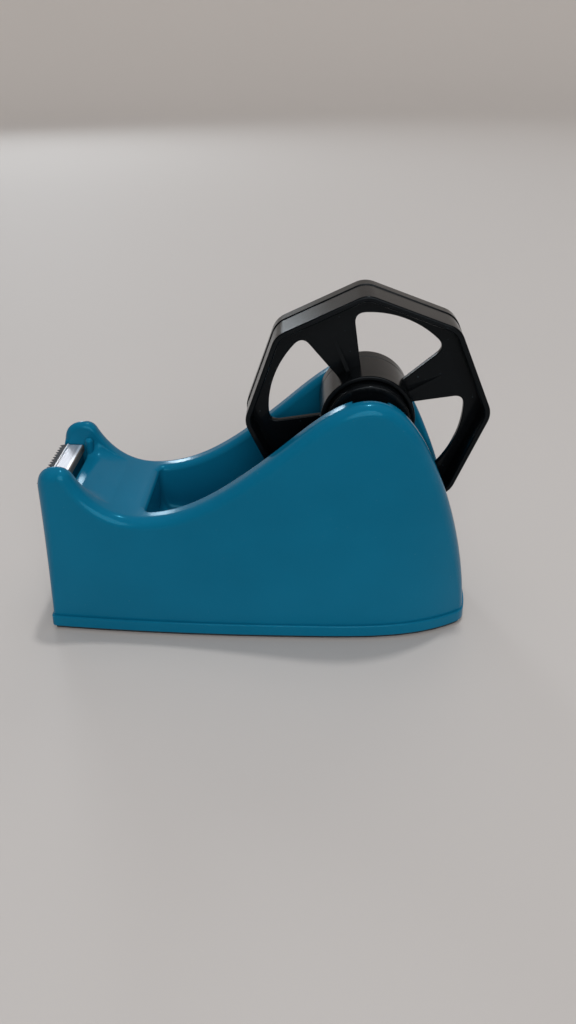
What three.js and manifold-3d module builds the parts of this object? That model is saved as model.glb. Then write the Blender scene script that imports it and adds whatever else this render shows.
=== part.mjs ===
// Desk tape dispenser with a two-size reel: a double-walled moulded body with a tape well, a steel
// saw-tooth blade between two wings, a ballasted base, and a reel that lifts out of two open slots.
// Millimetres, +Z up. The origin is the middle of the underside of the non-slip pad. The blade end is
// at -X and the reel's axis lies along Y.

import * as THREE from "three";
import { mergeVertices } from "three/addons/utils/BufferGeometryUtils.js";
import Module from "manifold-3d";

const wasm = await Module();
wasm.setup();

// Clearances and working allowances
const seatGap = 0.3;
const runningGap = 0.3;
const threadGap = 0.12;
const blendStart = 0.05;
const overrun = 6;
const skyReach = 260;
const skyCentreX = -45;
const mergeDistance = 0.0001;

// Foot: the flange's outline in plan
const footLength = 142;
const footFrontHalf = 20.9;
const footMiddleHalf = 24.2;
const footRearHalf = 12.3;
const footMiddleX = 5;
const footFrontCorner = 1.8;
const footRearCorner = 2.4;
const footRearBow = 2;
const flangeHeight = 3.9;
const flangeDraft = 0.2;
const padThickness = 1.5;
const padInset = 1;
const plateThickness = 2.4;
const plateInset = 2.5;

// Body shell
const wallLedge = 1.2;
const frontLedge = 0.2;
const rearLedge = 2.2;
const rearBulge = 1.2;
const rearBulgeRise = 34;
const wallThickness = 2.2;
const wallSeam = 0.25;
const sideDraft = 0.7;
const frontLean = 2.1;
const edgeRadius = 3.6;
const noseRadius = 5.2;
const footEdgeRadius = 1.2;
const lipRadius = 2.2;
const humpRise = 10.3;
const saddleHeight = 44;
const saddleReach = 32.8;
const wingRise = 15.8;
const wingLength = 10.2;
const wingThickness = 5.2;
const wingFrontRadius = 7.4;
const wingRearRadius = 2.6;

// Reel seat
const hubSetback = 35.8;
const hubHeight = 73.3;
const slotMouthHalf = 6.2;
const slotDepth = 3.4;
const slotFlareRise = 4;
const slotBlockHalf = 10;
const slotBlockDrop = 12;

// Tape well
const wellReach = 34.3;
const wellHalf = 14.5;
const wellFloorHeight = 22.3;
const wellFrontRise = 5;
const wellCorner = 4;
const wellPlanCorner = 2;

// Channel between the wings
const seatDrop = 7.9;
const pitWidth = 3.9;
const pitDepth = 5.7;
const pitFloor = 2.5;
const lipRise = 5.7;
const lipNose = 2;
const channelCorner = 5;
const channelBendReach = 20.3;
const channelBendRise = 3;
const channelRearReach = 27.3;
const channelRearRise = 1;
const channelCeilingReach = 19.3;
const wingTroughReach = 14.8;
const wingTroughFade = 4.6;
const bladePostRadius = 1.3;
const bladePostReach = 10.9;
const bladePostInset = 0.5;
const bladePostRise = 1.7;

// Blade
const bladeSteel = 0.6;
const bladeSideGap = 0.4;
const bladeBendReach = 3.5;
const bladeRearReach = 8.9;
const bladeFold = 2.2;
const bladeRidge = 0.35;
const bladeRidgeHalf = 0.45;
const toothReach = 2.6;
const toothRise = 0.35;
const toothDepth = 1.2;
const toothPitch = 1.8;

// Axle and one-inch drum
const axleRadius = 4.5;
const axleFlatDepth = 0.6;
const axleChamfer = 0.5;
const drumRadius = 12.6;
const drumNearGap = 1.7;
const drumFarGap = 1.6;
const drumWall = 1.6;
const drumRecess = 0.8;
const drumEndWall = 2;
const drumChamfer = 0.5;
const bearingWall = 1.8;
const drumRibThickness = 1.2;
const capThickness = 1.6;
const capSeam = 0.1;
const capSpigot = 3;
const capSpigotWall = 1.4;

// Octagonal three-inch wheel
const wheelRadius = 38.1;
const wheelCorner = 7.5;
const wheelNearY = -7.3;
const wheelFarY = 9.7;
const wheelWall = 2.1;
const wheelEdge = 0.45;
const webNearY = 0.2;
const webThickness = 2;
const windowInset = 7.8;
const windowCorner = 3.2;
const sleeveWall = 1.4;
const sleeveNearStep = 2;
const sleeveFarGap = 0.4;
const sleeveChamfer = 0.4;
const spokeRibThickness = 1.2;
const spokeRibRise = 0.7;

// Base fixings and ballast
const screwShank = 1.4;
const screwHead = 2.9;
const screwHeadHeight = 1.7;
const screwLength = 10.6;
const screwSlotHalf = 0.4;
const screwSlotDepth = 0.7;
const pilotDepth = 12.5;
const bossRadius = 3.4;
const frontBossReach = 10.3;
const frontBossInset = 8.4;
const rearBossReach = 12.3;
const rearBossInset = 2.8;
const locatorHeight = 3;
const locatorThickness = 1.6;
const locatorGap = 0.7;
const ballastHalf = 13.6;
const ballastFrontReach = 17.3;
const ballastStepReach = 27.8;
const ballastRearReach = 20.8;
const ballastFloorGap = 3.6;
const ballastSaddleGap = 5.9;
const ballastCorner = 2;

// Angles, counts and powers
const footTaperPower = 4.1;
const wheelTurn = THREE.MathUtils.degToRad(19.84);
const windowSpan = THREE.MathUtils.degToRad(58);
const wheelSides = 8;
const windowCount = 4;
const drumRibCount = 6;
const rimDivisions = 8;
const roundSteps = 5;
const rightAngle = Math.PI / 2;

// Derived levels, and places along X from the shell's front and rear faces
const plateTop = padThickness + plateThickness;
const flangeTop = padThickness + flangeHeight;
const humpHeight = hubHeight + humpRise;
const wingHeight = saddleHeight + wingRise;
const seatLevel = wingHeight - seatDrop;
const lipHeight = saddleHeight + lipRise;
const pitFloorHeight = lipHeight - pitDepth;
const footHalfLength = footLength / 2;
const frontFaceX = -footHalfLength + frontLedge;
const rearFaceX = footHalfLength - rearLedge;
const hubX = rearFaceX - hubSetback;
const wingFrontX = frontFaceX + frontLean;
const wingRearX = frontFaceX + wingLength;
const saddleX = frontFaceX + saddleReach;
const wellFrontX = frontFaceX + wellReach;
const wellRollRadius = hubHeight - wellFloorHeight;
const channelHalf = footFrontHalf - wallLedge - wingThickness;
const channelRearX = frontFaceX + channelRearReach;
const bladeRearX = frontFaceX + bladeRearReach;
const pitFrontX = bladeRearX - bladeSteel - seatGap;
const lipX = pitFrontX + pitWidth;
const boreRadius = axleRadius + runningGap;
const axleFlatHalf = axleRadius - axleFlatDepth;
const slotHalf = axleFlatHalf + seatGap;
const sleeveBore = drumRadius + runningGap;
const sleeveRadius = sleeveBore + sleeveWall;
const span = footHalfLength + overrun;

// Closed geometry to solid for the boolean steps, and back
function solidOf(geometry) {
  const bare = new THREE.BufferGeometry();
  bare.setAttribute("position", geometry.getAttribute("position"));
  if (geometry.index) bare.setIndex(geometry.index);
  const merged = mergeVertices(bare, mergeDistance);
  const corners = merged.index.array;
  const kept = [];
  for (let i = 0; i < corners.length; i += 3) {
    const [a, b, c] = corners.slice(i, i + 3);
    if (a !== b && b !== c && c !== a) kept.push(a, b, c);
  }
  const vertProperties = new Float32Array(merged.getAttribute("position").array);
  const triVerts = new Uint32Array(kept);
  return new wasm.Manifold(new wasm.Mesh({ numProp: 3, vertProperties, triVerts }));
}

function geometryOf(solid) {
  const data = solid.getMesh();
  const geometry = new THREE.BufferGeometry();
  const positions = new Float32Array(data.vertProperties);
  geometry.setAttribute("position", new THREE.BufferAttribute(positions, 3));
  geometry.setIndex(new THREE.BufferAttribute(new Uint32Array(data.triVerts), 1));
  geometry.computeVertexNormals();
  return geometry;
}

const joined = (first, ...others) => others.reduce((whole, next) => whole.add(next), first);
const cutFrom = (first, ...others) => others.reduce((whole, next) => whole.subtract(next), first);

// Six times the signed volume inside a triangle list
function signedVolume(points, index) {
  let total = 0;
  for (let i = 0; i < index.length; i += 3) {
    const [a, b, c] = [points[index[i]], points[index[i + 1]], points[index[i + 2]]];
    total += a.dot(new THREE.Vector3().crossVectors(b, c));
  }
  return total;
}

// Solid through a row of closed sections with equally many points, capped at both ends. flat lays
// a section's points in a plane for its cap.
function sweptSolid(sections, flat) {
  const count = sections[0].length;
  const points = sections.flat();
  const index = [];
  for (let i = 0; i < sections.length - 1; i += 1) {
    for (let j = 0; j < count; j += 1) {
      const a = i * count + j;
      const b = i * count + ((j + 1) % count);
      index.push(a, b, b + count, a, b + count, a + count);
    }
  }
  const last = (sections.length - 1) * count;
  const startFlat = flat(sections[0]);
  const endFlat = flat(sections.at(-1));
  const clockwise = THREE.ShapeUtils.isClockWise(startFlat);
  for (const [a, b, c] of THREE.ShapeUtils.triangulateShape(startFlat, [])) {
    if (clockwise) index.push(a, b, c);
    else index.push(c, b, a);
  }
  for (const [a, b, c] of THREE.ShapeUtils.triangulateShape(endFlat, [])) {
    if (clockwise) index.push(last + c, last + b, last + a);
    else index.push(last + a, last + b, last + c);
  }
  if (signedVolume(points, index) < 0) index.reverse();
  const geometry = new THREE.BufferGeometry().setFromPoints(points);
  geometry.setIndex(index);
  return solidOf(geometry);
}

const inPlan = (section) => section.map((p) => new THREE.Vector2(p.x, p.y));
const acrossBody = (section) => section.map((p) => new THREE.Vector2(p.y, p.z));

// Plate with its outline in XZ, between two Y levels, with its edges eased by edge
function plateAlongY(outline, y0, y1, edge = 0, curveSegments = 8) {
  const geometry = new THREE.ExtrudeGeometry(outline, {
    depth: y1 - y0 - edge * 2,
    bevelEnabled: edge > 0,
    bevelThickness: edge,
    bevelSize: edge,
    bevelOffset: -edge,
    bevelSegments: 2,
    curveSegments,
  });
  geometry.rotateX(rightAngle);
  geometry.translate(0, y1 - edge, 0);
  return solidOf(geometry);
}

// Bodies turned about Y, or about an upright axis, from points of radius and level
function turned(profile, sides = 40) {
  const points = profile.map(([radius, level]) => new THREE.Vector2(radius, level));
  return solidOf(new THREE.LatheGeometry(points, sides));
}

function upright(profile, x, y, sides = 20) {
  const points = profile.map(([radius, level]) => new THREE.Vector2(radius, level));
  const geometry = new THREE.LatheGeometry(points, sides);
  geometry.rotateX(rightAngle);
  geometry.translate(x, y, 0);
  return solidOf(geometry);
}

const post = (radius, x, y, z0, z1) => upright([[0, z0], [radius, z0], [radius, z1], [0, z1]], x, y);

function block(x0, x1, y0, y1, z0, z1, turn = 0) {
  const geometry = new THREE.BoxGeometry(x1 - x0, y1 - y0, z1 - z0);
  geometry.translate((x0 + x1) / 2, (y0 + y1) / 2, (z0 + z1) / 2);
  geometry.rotateY(turn);
  return solidOf(geometry);
}

// Foot outline: half width along X, widest at footMiddleX, drawn in to both ends
function footHalf(x) {
  if (x < footMiddleX) {
    const share = (footMiddleX - x) / (footMiddleX + footHalfLength);
    return footMiddleHalf - (footMiddleHalf - footFrontHalf) * share ** 2;
  }
  const share = (x - footMiddleX) / (footHalfLength - footMiddleX);
  return footMiddleHalf - (footMiddleHalf - footRearHalf) * share ** footTaperPower;
}

// Outer half width of the shell's walls at a height
function sideHalf(x, z) {
  const rise = (z - flangeTop) / (humpHeight - flangeTop);
  return footHalf(x) - wallLedge - sideDraft * rise;
}

// Closed ring at height z from the points of its far half
function mirroredRing(points, z) {
  const far = points.map((p) => new THREE.Vector3(p.x, p.y, z));
  const near = points.map((p) => new THREE.Vector3(p.x, -p.y, z)).reverse();
  return [...far, ...near];
}

// The foot's outline drawn in by inset, with rounded corners and a bowed rear end
const bowShares = [0.67, 0.33, 0];

function planRing(inset, z, sideSteps = 14, cornerSteps = 4) {
  const front = -footHalfLength + inset;
  const rear = footHalfLength - inset;
  const sideEnd = rear - footRearBow;
  const half = (x) => footHalf(x) - inset;
  const rearAt = (y) => rear - footRearBow * (y / half(sideEnd)) ** 2;
  const frontCorner = Math.max(footFrontCorner - inset, inset / 2);
  const rearCorner = Math.max(footRearCorner - inset, inset / 2);
  const points = new THREE.QuadraticBezierCurve(
    new THREE.Vector2(front, half(front) - frontCorner),
    new THREE.Vector2(front, half(front)),
    new THREE.Vector2(front + frontCorner, half(front + frontCorner)),
  ).getPoints(cornerSteps);
  const run = sideEnd - rearCorner - (front + frontCorner);
  for (let i = 1; i < sideSteps; i += 1) {
    const x = front + frontCorner + run * Math.sin(rightAngle * (i / sideSteps));
    points.push(new THREE.Vector2(x, half(x)));
  }
  const cornerEnd = half(sideEnd) - rearCorner;
  const corner = new THREE.QuadraticBezierCurve(
    new THREE.Vector2(sideEnd - rearCorner, half(sideEnd - rearCorner)),
    new THREE.Vector2(sideEnd, half(sideEnd)),
    new THREE.Vector2(rearAt(cornerEnd), cornerEnd),
  );
  points.push(...corner.getPoints(cornerSteps));
  for (const share of bowShares) points.push(new THREE.Vector2(rearAt(cornerEnd * share), cornerEnd * share));
  return mirroredRing(points, z);
}

const planPlate = (inset, z0, z1) => sweptSolid([planRing(inset, z0), planRing(inset, z1)], inPlan);

// Side walls' faces drawn in by inset, run out past both ends
function sideRing(inset, z, steps = 28) {
  const points = [];
  for (let i = 0; i <= steps; i += 1) {
    const x = -span + span * 2 * Math.sin(rightAngle * (i / steps));
    points.push(new THREE.Vector2(x, sideHalf(x, z) - inset));
  }
  return mirroredRing(points, z);
}

function sidePrism(inset, z0, z1) {
  return sweptSolid([sideRing(inset, z0), sideRing(inset, z1)], inPlan);
}

// Rim: the body's side profile from the front foot over wings, saddle and hump to the rear foot.
// The handles are shares of the run along X and of the rise along Z between its landmarks.
const wingFootShares = [0.147, 0.86];
const wingSlopeShares = [[0.3, 0.4], [0.56, 0]];
const wellRiseShares = [[0.197, 0], [0.352, 0.192], [0.521, 0.431]];
const humpRiseShares = [[0.718, 0.711], [0.845, 1]];
const humpFallShares = [[0.308, 1], [0.496, 0.825], [0.643, 0.684]];
const rearFallShares = [[0.804, 0.53], [0.979, 0.263]];
const noseHandleShare = 0.42;

function rimPath() {
  const between = (x0, x1, z0, z1) => ([u, v]) => [x0 + (x1 - x0) * u, z0 + (z1 - z0) * v];
  const wing = between(wingRearX, saddleX, saddleHeight, wingHeight);
  const rise = between(saddleX, hubX, saddleHeight, humpHeight);
  const fall = between(hubX, rearFaceX, 0, humpHeight);
  const cornerX = wingFrontX + wingFrontRadius;
  const cornerZ = wingHeight - wingFrontRadius;
  const handle = wingFrontRadius * noseHandleShare;
  const path = new THREE.Path();
  path.moveTo(frontFaceX, -overrun);
  path.lineTo(wingFrontX, cornerZ);
  path.bezierCurveTo(wingFrontX, cornerZ + handle, cornerX - handle, wingHeight, cornerX, wingHeight);
  path.lineTo(wingRearX, wingHeight);
  path.quadraticCurveTo(wingRearX + wingRearRadius, wingHeight, ...wing(wingFootShares));
  path.bezierCurveTo(...wingSlopeShares.flatMap(wing), saddleX, saddleHeight);
  path.bezierCurveTo(...wellRiseShares.flatMap(rise));
  path.bezierCurveTo(...humpRiseShares.flatMap(rise), hubX, humpHeight);
  path.bezierCurveTo(...humpFallShares.flatMap(fall));
  path.bezierCurveTo(...rearFallShares.flatMap(fall), rearFaceX, flangeTop);
  path.lineTo(rearFaceX, -overrun);
  return path;
}

// Rim stations: points of the profile with outward normals, distances along it, how far the rear
// face bulges there, and the radius of the outer edge. The radius grows from the foot upwards, is
// largest on the wings' noses, and is limited by the tight bends.
const bendShare = 0.9;
const easingShare = 0.5;

function edgeAim(x, z) {
  const full = x < wingRearX ? noseRadius : edgeRadius;
  const rise = THREE.MathUtils.clamp((z - flangeTop) / (seatLevel - flangeTop), 0, 1);
  return footEdgeRadius + (full - footEdgeRadius) * Math.sin(rightAngle * rise);
}

function bulgeAt(x, z) {
  const rise = THREE.MathUtils.clamp((z - flangeTop) / rearBulgeRise, 0, 1);
  return x > hubX ? rearBulge * Math.cos(rightAngle * rise) ** 2 : 0;
}

function rimStations() {
  const points = rimPath().getPoints(rimDivisions);
  const kept = points.filter((p, i) => i === 0 || p.distanceTo(points[i - 1]) > blendStart);
  const last = kept.length - 1;
  let travelled = 0;
  const stations = kept.map((p, i) => {
    const before = kept[Math.max(i - 1, 0)];
    const after = kept[Math.min(i + 1, last)];
    travelled += p.distanceTo(before);
    const incoming = p.clone().sub(before).normalize();
    const outgoing = after.clone().sub(p).normalize();
    const along = incoming.clone().add(outgoing).normalize();
    const turn = outgoing.cross(incoming);
    const reach = Math.min(p.distanceTo(before), p.distanceTo(after));
    const bend = i > 0 && i < last && turn > 0 ? reach / turn : skyReach;
    const aim = Math.min(edgeAim(p.x, p.y), bend * bendShare);
    return { x: p.x, z: p.y, nx: -along.y, nz: along.x, travelled, aim, bulge: bulgeAt(p.x, p.y) };
  });
  for (const spot of stations) {
    spot.round = Math.min(...stations.map((other) => {
      return other.aim + Math.hypot(other.x - spot.x, other.z - spot.z) * easingShare;
    }));
  }
  return stations;
}

const rim = rimStations();

// Where the rim first passes from one side of a test to the other, as a distance along it
function travelWhere(height) {
  const after = rim.findIndex((spot, i) => i > 0 && height(rim[i - 1]) <= 0 && height(spot) > 0);
  const [a, b] = [rim[after - 1], rim[after]];
  const share = height(a) / (height(a) - height(b));
  return a.travelled + (b.travelled - a.travelled) * share;
}

function stationAt(travelled) {
  const after = Math.max(rim.findIndex((spot) => spot.travelled >= travelled), 1);
  const [a, b] = [rim[after - 1], rim[after]];
  const share = (travelled - a.travelled) / (b.travelled - a.travelled);
  const mix = (key) => a[key] + (b[key] - a[key]) * share;
  return { x: mix("x"), z: mix("z"), nx: mix("nx"), nz: mix("nz"), travelled };
}

// All that lies above the rim, with the rounding of the body's outer edges
const acrossShares = [-0.6, 0, 0.6];

function aboveRim() {
  const wide = footMiddleHalf + overrun;
  const sections = rim.map(({ x, z, nx, nz, round, bulge }) => {
    const away = new THREE.Vector2(x - skyCentreX, z).setLength(skyReach);
    const sky = (hand) => new THREE.Vector3(skyCentreX + away.x, hand * wide, away.y);
    const side = (hand) => {
      const spots = [new THREE.Vector3(x - nx * round, hand * wide, z - nz * round)];
      for (let k = 0; k <= roundSteps; k += 1) {
        const turn = rightAngle * (k / roundSteps);
        const drop = round * (1 - Math.sin(turn));
        const inward = round * (1 - Math.cos(turn)) - (k === 0 ? blendStart : 0);
        const [px, pz] = [x - nx * drop, z - nz * drop];
        spots.push(new THREE.Vector3(px, hand * (sideHalf(px, pz) - inward), pz));
      }
      return spots;
    };
    const edge = sideHalf(x, z) - round;
    const across = acrossShares.map((share) => {
      const out = bulge * (1 - share ** 2);
      return new THREE.Vector3(x + nx * out, edge * share, z + nz * out);
    });
    return [sky(-1), ...side(-1), ...across, ...side(1).reverse(), sky(1)];
  });
  return sweptSolid(sections, (section) => {
    return section.map((p) => new THREE.Vector2(p.y, Math.hypot(p.x - skyCentreX, p.z)));
  });
}

// Trough along a stretch of the rim that rounds the inner edges. It is as deep as the lip's radius,
// and its depth and its reach outwards fade out at both ends.
const fadedReach = (x, fade) => lipRadius * Math.sqrt(1 - (1 - fade) ** 2);

function rimTrough(from, to, fadeIn, fadeOut, halfAt, reachAt = fadedReach) {
  const places = rim.map((spot) => spot.travelled).filter((t) => t > from + fadeIn && t < to - fadeOut);
  for (let k = 0; k <= roundSteps; k += 1) {
    const share = Math.sin(rightAngle * (k / roundSteps));
    places.push(from + fadeIn * share, to - fadeOut * share);
  }
  places.sort((a, b) => a - b);
  const sections = places.map(stationAt).map(({ x, z, nx, nz, travelled }) => {
    const fade = Math.min((travelled - from) / fadeIn, (to - travelled) / fadeOut, 1);
    const depth = lipRadius * (1 - Math.sqrt(1 - fade ** 2));
    const half = halfAt(x);
    const reach = reachAt(x, fade);
    const side = (hand) => {
      const spots = [];
      for (let k = 0; k <= roundSteps; k += 1) {
        const turn = rightAngle * (k / roundSteps);
        const lift = k === roundSteps || fade === 0 ? blendStart : 0;
        const drop = depth * (1 - Math.sin(turn)) - lift;
        const outward = reach * (1 - Math.cos(turn));
        spots.push(new THREE.Vector3(x - nx * drop, hand * (half + outward), z - nz * drop));
      }
      spots.push(new THREE.Vector3(x + nx * lipRadius, hand * (half + reach), z + nz * lipRadius));
      return spots;
    };
    return [...side(-1).reverse(), ...side(1)];
  });
  return sweptSolid(sections, (section) => {
    const top = section[0];
    return section.map((p) => new THREE.Vector2(p.y, -Math.hypot(p.x - top.x, p.z - top.z)));
  });
}

// Tape well: half width and floor along X, both eased into the front wall
const wellRearShare = 0.7;

function wellEase(x, corner) {
  const share = THREE.MathUtils.clamp((x - wellFrontX) / corner, 0, 1);
  return corner * (1 - Math.sqrt(1 - (1 - share) ** 2));
}

function wellHalfAt(x) {
  return Math.min(wellHalf, sideHalf(x, hubHeight) * wellRearShare) - wellEase(x, wellPlanCorner);
}

// The reel's reach along Y, from the well's half width at the hub
const hubHalf = wellHalfAt(hubX);
const drumNearY = -hubHalf + drumNearGap;
const drumFarY = hubHalf - drumFarGap;
const slotReach = hubHalf + slotDepth;
const axleHalfLength = slotReach - seatGap;

// How far the rounding of the well's inner edges reaches outwards, turned round its front corners
function wellReachAt(x, fade) {
  const back = wellFrontX + wellPlanCorner - x;
  if (back <= 0) return fadedReach(x, fade);
  const arc = (radius) => Math.sqrt(Math.max(radius ** 2 - back ** 2, 0));
  return arc(wellPlanCorner + lipRadius) - arc(wellPlanCorner);
}

function wellFloorAt(x) {
  if (x > hubX) return hubHeight - Math.sqrt(wellRollRadius ** 2 - (x - hubX) ** 2);
  const share = (hubX - x) / (hubX - wellFrontX);
  return wellFloorHeight + wellFrontRise * share ** 2 + wellEase(x, wellCorner);
}

function wellSolid(grow, steps = 22) {
  const easedX = wellFrontX + wellCorner;
  const run = rearFaceX + wallThickness - easedX;
  const places = [];
  for (let k = 0; k < roundSteps; k += 1) {
    places.push(easedX - wellCorner * Math.cos(rightAngle * (k / roundSteps) ** 2));
  }
  for (let i = 0; i <= steps; i += 1) places.push(easedX + run * (i / steps));
  const sections = places.map((x, i) => {
    const half = wellHalfAt(x) + grow;
    const floor = wellFloorAt(x) - grow;
    const wall = [[half, humpHeight + overrun]];
    for (let k = 0; k <= roundSteps; k += 1) {
      const turn = rightAngle * (k / roundSteps);
      const y = half - wellCorner * (1 - Math.cos(turn));
      wall.push([y, floor + wellCorner * (1 - Math.sin(turn))]);
    }
    const at = i === 0 ? x - grow : x;
    const far = wall.map(([y, z]) => new THREE.Vector3(at, y, z));
    const near = wall.map(([y, z]) => new THREE.Vector3(at, -y, z)).reverse();
    return [...far, ...near];
  });
  return sweptSolid(sections, acrossBody);
}

// Channel between the wings: blade shelf and the pit behind the blade
function shelfSolid() {
  const outline = new THREE.Shape();
  outline.moveTo(-span, seatLevel);
  outline.lineTo(pitFrontX, seatLevel);
  outline.lineTo(pitFrontX, pitFloorHeight);
  outline.lineTo(lipX + blendStart, pitFloorHeight);
  outline.lineTo(lipX + blendStart, wingHeight + overrun);
  outline.lineTo(-span, wingHeight + overrun);
  return plateAlongY(outline, -channelHalf, channelHalf);
}

// Saddle behind the pit: it rises over the rounded nose of its lip, then falls to the rims
function saddleFloorAt(x) {
  const nose = lipX + lipNose;
  if (x < nose) return lipHeight - lipNose + Math.sqrt(lipNose ** 2 - (nose - x) ** 2);
  const share = (x - nose) / (channelRearX - nose);
  const bend = (frontFaceX + channelBendReach - nose) / (channelRearX - nose);
  const t = share / (bend + Math.sqrt(bend ** 2 + (1 - bend * 2) * share));
  const rest = 1 - t;
  return saddleHeight + lipRise * rest ** 2 + channelBendRise * rest * t * 2 + channelRearRise * t ** 2;
}

// Level of the rim over a place between the wings' noses and the saddle
function rimLevelAt(x) {
  const after = rim.findIndex((spot, i) => i > 0 && spot.x > x && rim[i - 1].x <= x);
  const [a, b] = [rim[after - 1], rim[after]];
  return a.z + (b.z - a.z) * ((x - a.x) / (b.x - a.x));
}

// Its walls turn from the floor up to the rim, flatter as the rim comes down to the floor
function saddleSolid(steps = 12) {
  const nose = lipX + lipNose;
  const places = [];
  for (let k = 0; k < roundSteps; k += 1) {
    places.push(nose - lipNose * Math.cos(rightAngle * (k / roundSteps)));
  }
  for (let i = 0; i <= steps; i += 1) places.push(nose + (channelRearX - nose) * (i / steps));
  const sections = places.map((x) => {
    const floor = saddleFloorAt(x);
    const brim = Math.max(rimLevelAt(x), floor) + blendStart;
    const scale = Math.min((brim - floor) / (channelCorner + lipRadius), 1);
    const wall = [[channelHalf + lipRadius, wingHeight + overrun]];
    for (let k = roundSteps; k >= 0; k -= 1) {
      const turn = rightAngle * (k / roundSteps);
      const y = channelHalf + lipRadius * (1 - Math.cos(turn));
      wall.push([y, brim - lipRadius * scale * (1 - Math.sin(turn))]);
    }
    for (let k = 0; k <= roundSteps; k += 1) {
      const turn = rightAngle * (k / roundSteps);
      const y = channelHalf - channelCorner * (1 - Math.cos(turn));
      wall.push([y, floor + channelCorner * scale * (1 - Math.sin(turn))]);
    }
    const far = wall.map(([y, z]) => new THREE.Vector3(x, y, z));
    const near = wall.map(([y, z]) => new THREE.Vector3(x, -y, z)).reverse();
    return [...far, ...near];
  });
  return sweptSolid(sections, acrossBody);
}

// Axle slots: a seat for the axle's flats that flares to its mouth
function slotSolid() {
  const seatAngle = Math.acos(slotHalf / boreRadius);
  const bendRise = humpRise - slotFlareRise / 2;
  const mouth = humpRise + overrun;
  const outline = new THREE.Shape();
  outline.moveTo(-slotMouthHalf, mouth);
  outline.lineTo(-slotMouthHalf, humpRise);
  outline.quadraticCurveTo(-slotHalf, bendRise, -slotHalf, slotFlareRise);
  outline.lineTo(-slotHalf, -boreRadius * Math.sin(seatAngle));
  outline.absarc(0, 0, boreRadius, Math.PI + seatAngle, Math.PI * 2 - seatAngle, false);
  outline.lineTo(slotHalf, slotFlareRise);
  outline.quadraticCurveTo(slotHalf, bendRise, slotMouthHalf, humpRise);
  outline.lineTo(slotMouthHalf, mouth);
  const geometry = new THREE.ExtrudeGeometry(outline, {
    depth: slotReach * 2,
    bevelEnabled: false,
    curveSegments: 6,
  });
  geometry.rotateX(rightAngle);
  geometry.translate(hubX, slotReach, hubHeight);
  return solidOf(geometry);
}

const [frontBossX, rearBossX] = [frontFaceX + frontBossReach, rearFaceX - rearBossReach];
const [frontBossY, rearBossY] = [footFrontHalf - frontBossInset, footRearHalf - rearBossInset];
const bossPlaces = [
  [frontBossX, -frontBossY],
  [frontBossX, frontBossY],
  [rearBossX, rearBossY],
  [rearBossX, -rearBossY],
];

// Space between the double walls and under the floor, open at the bottom
function cavitySolid() {
  const outline = new THREE.Shape();
  outline.moveTo(frontFaceX + wallThickness, -overrun);
  const channelCeiling = pitFloorHeight - pitFloor;
  const channelCeilingX = frontFaceX + channelCeilingReach;
  const leanShare = (channelCeiling + overrun) / (wingHeight - wingFrontRadius + overrun);
  outline.lineTo(frontFaceX + frontLean * leanShare + wallThickness, channelCeiling);
  outline.lineTo(channelCeilingX, channelCeiling);
  const roof = rim.filter((spot) => spot.x > channelCeilingX + wallThickness);
  for (const { x, z, nx, nz } of roof) outline.lineTo(x - nx * wallThickness, z - nz * wallThickness);
  const room = plateAlongY(outline, -footMiddleHalf, footMiddleHalf)
    .intersect(sidePrism(wallThickness, -overrun, humpHeight));
  const slotBlock = block(
    hubX - slotBlockHalf,
    hubX + slotBlockHalf,
    -footMiddleHalf,
    footMiddleHalf,
    hubHeight - slotBlockDrop,
    humpHeight,
  );
  const posts = bossPlaces.map(([x, y]) => post(bossRadius, x, y, -overrun, wingHeight));
  return cutFrom(room, wellSolid(wallThickness), slotBlock, ...posts);
}

function bodyShell() {
  const walls = sidePrism(0, flangeTop - blendStart, humpHeight + overrun).subtract(aboveRim());
  const flange = sweptSolid([planRing(0, padThickness), planRing(flangeDraft, flangeTop)], inPlan);
  const pocket = planPlate(plateInset - seatGap, -overrun, plateTop + wallSeam);
  const wingStart = travelWhere((spot) => spot.z - seatLevel);
  const wingEnd = travelWhere((spot) => spot.x - (frontFaceX + wingTroughReach));
  const wellStart = travelWhere((spot) => spot.x - wellFrontX);
  const wellEnd = travelWhere((spot) => (spot.x > hubX ? wellFloorAt(spot.x) - spot.z : -1));
  const wingTrough = rimTrough(wingStart, wingEnd, lipRadius, wingTroughFade, () => channelHalf);
  const [browStart, browEnd] = [wellStart - lipRadius, wellEnd + lipRadius];
  const wellTrough = rimTrough(browStart, browEnd, lipRadius, lipRadius, wellHalfAt, wellReachAt);
  const pilotTop = plateTop + pilotDepth;
  const pilots = bossPlaces.map(([x, y]) => post(screwShank + threadGap, x, y, -overrun, pilotTop));
  const raw = joined(walls, flange);
  const hollow = cutFrom(raw, cavitySolid(), pocket, wellSolid(0), shelfSolid(), saddleSolid());
  const finished = cutFrom(hollow, wingTrough, wellTrough, slotSolid(), ...pilots);
  const bladePosts = [-1, 1].map((hand) => {
    const [x, y] = [frontFaceX + bladePostReach, hand * (channelHalf - bladePostInset)];
    return post(bladePostRadius, x, y, pitFloorHeight - blendStart, seatLevel + bladePostRise);
  });
  return joined(finished, ...bladePosts);
}

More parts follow.
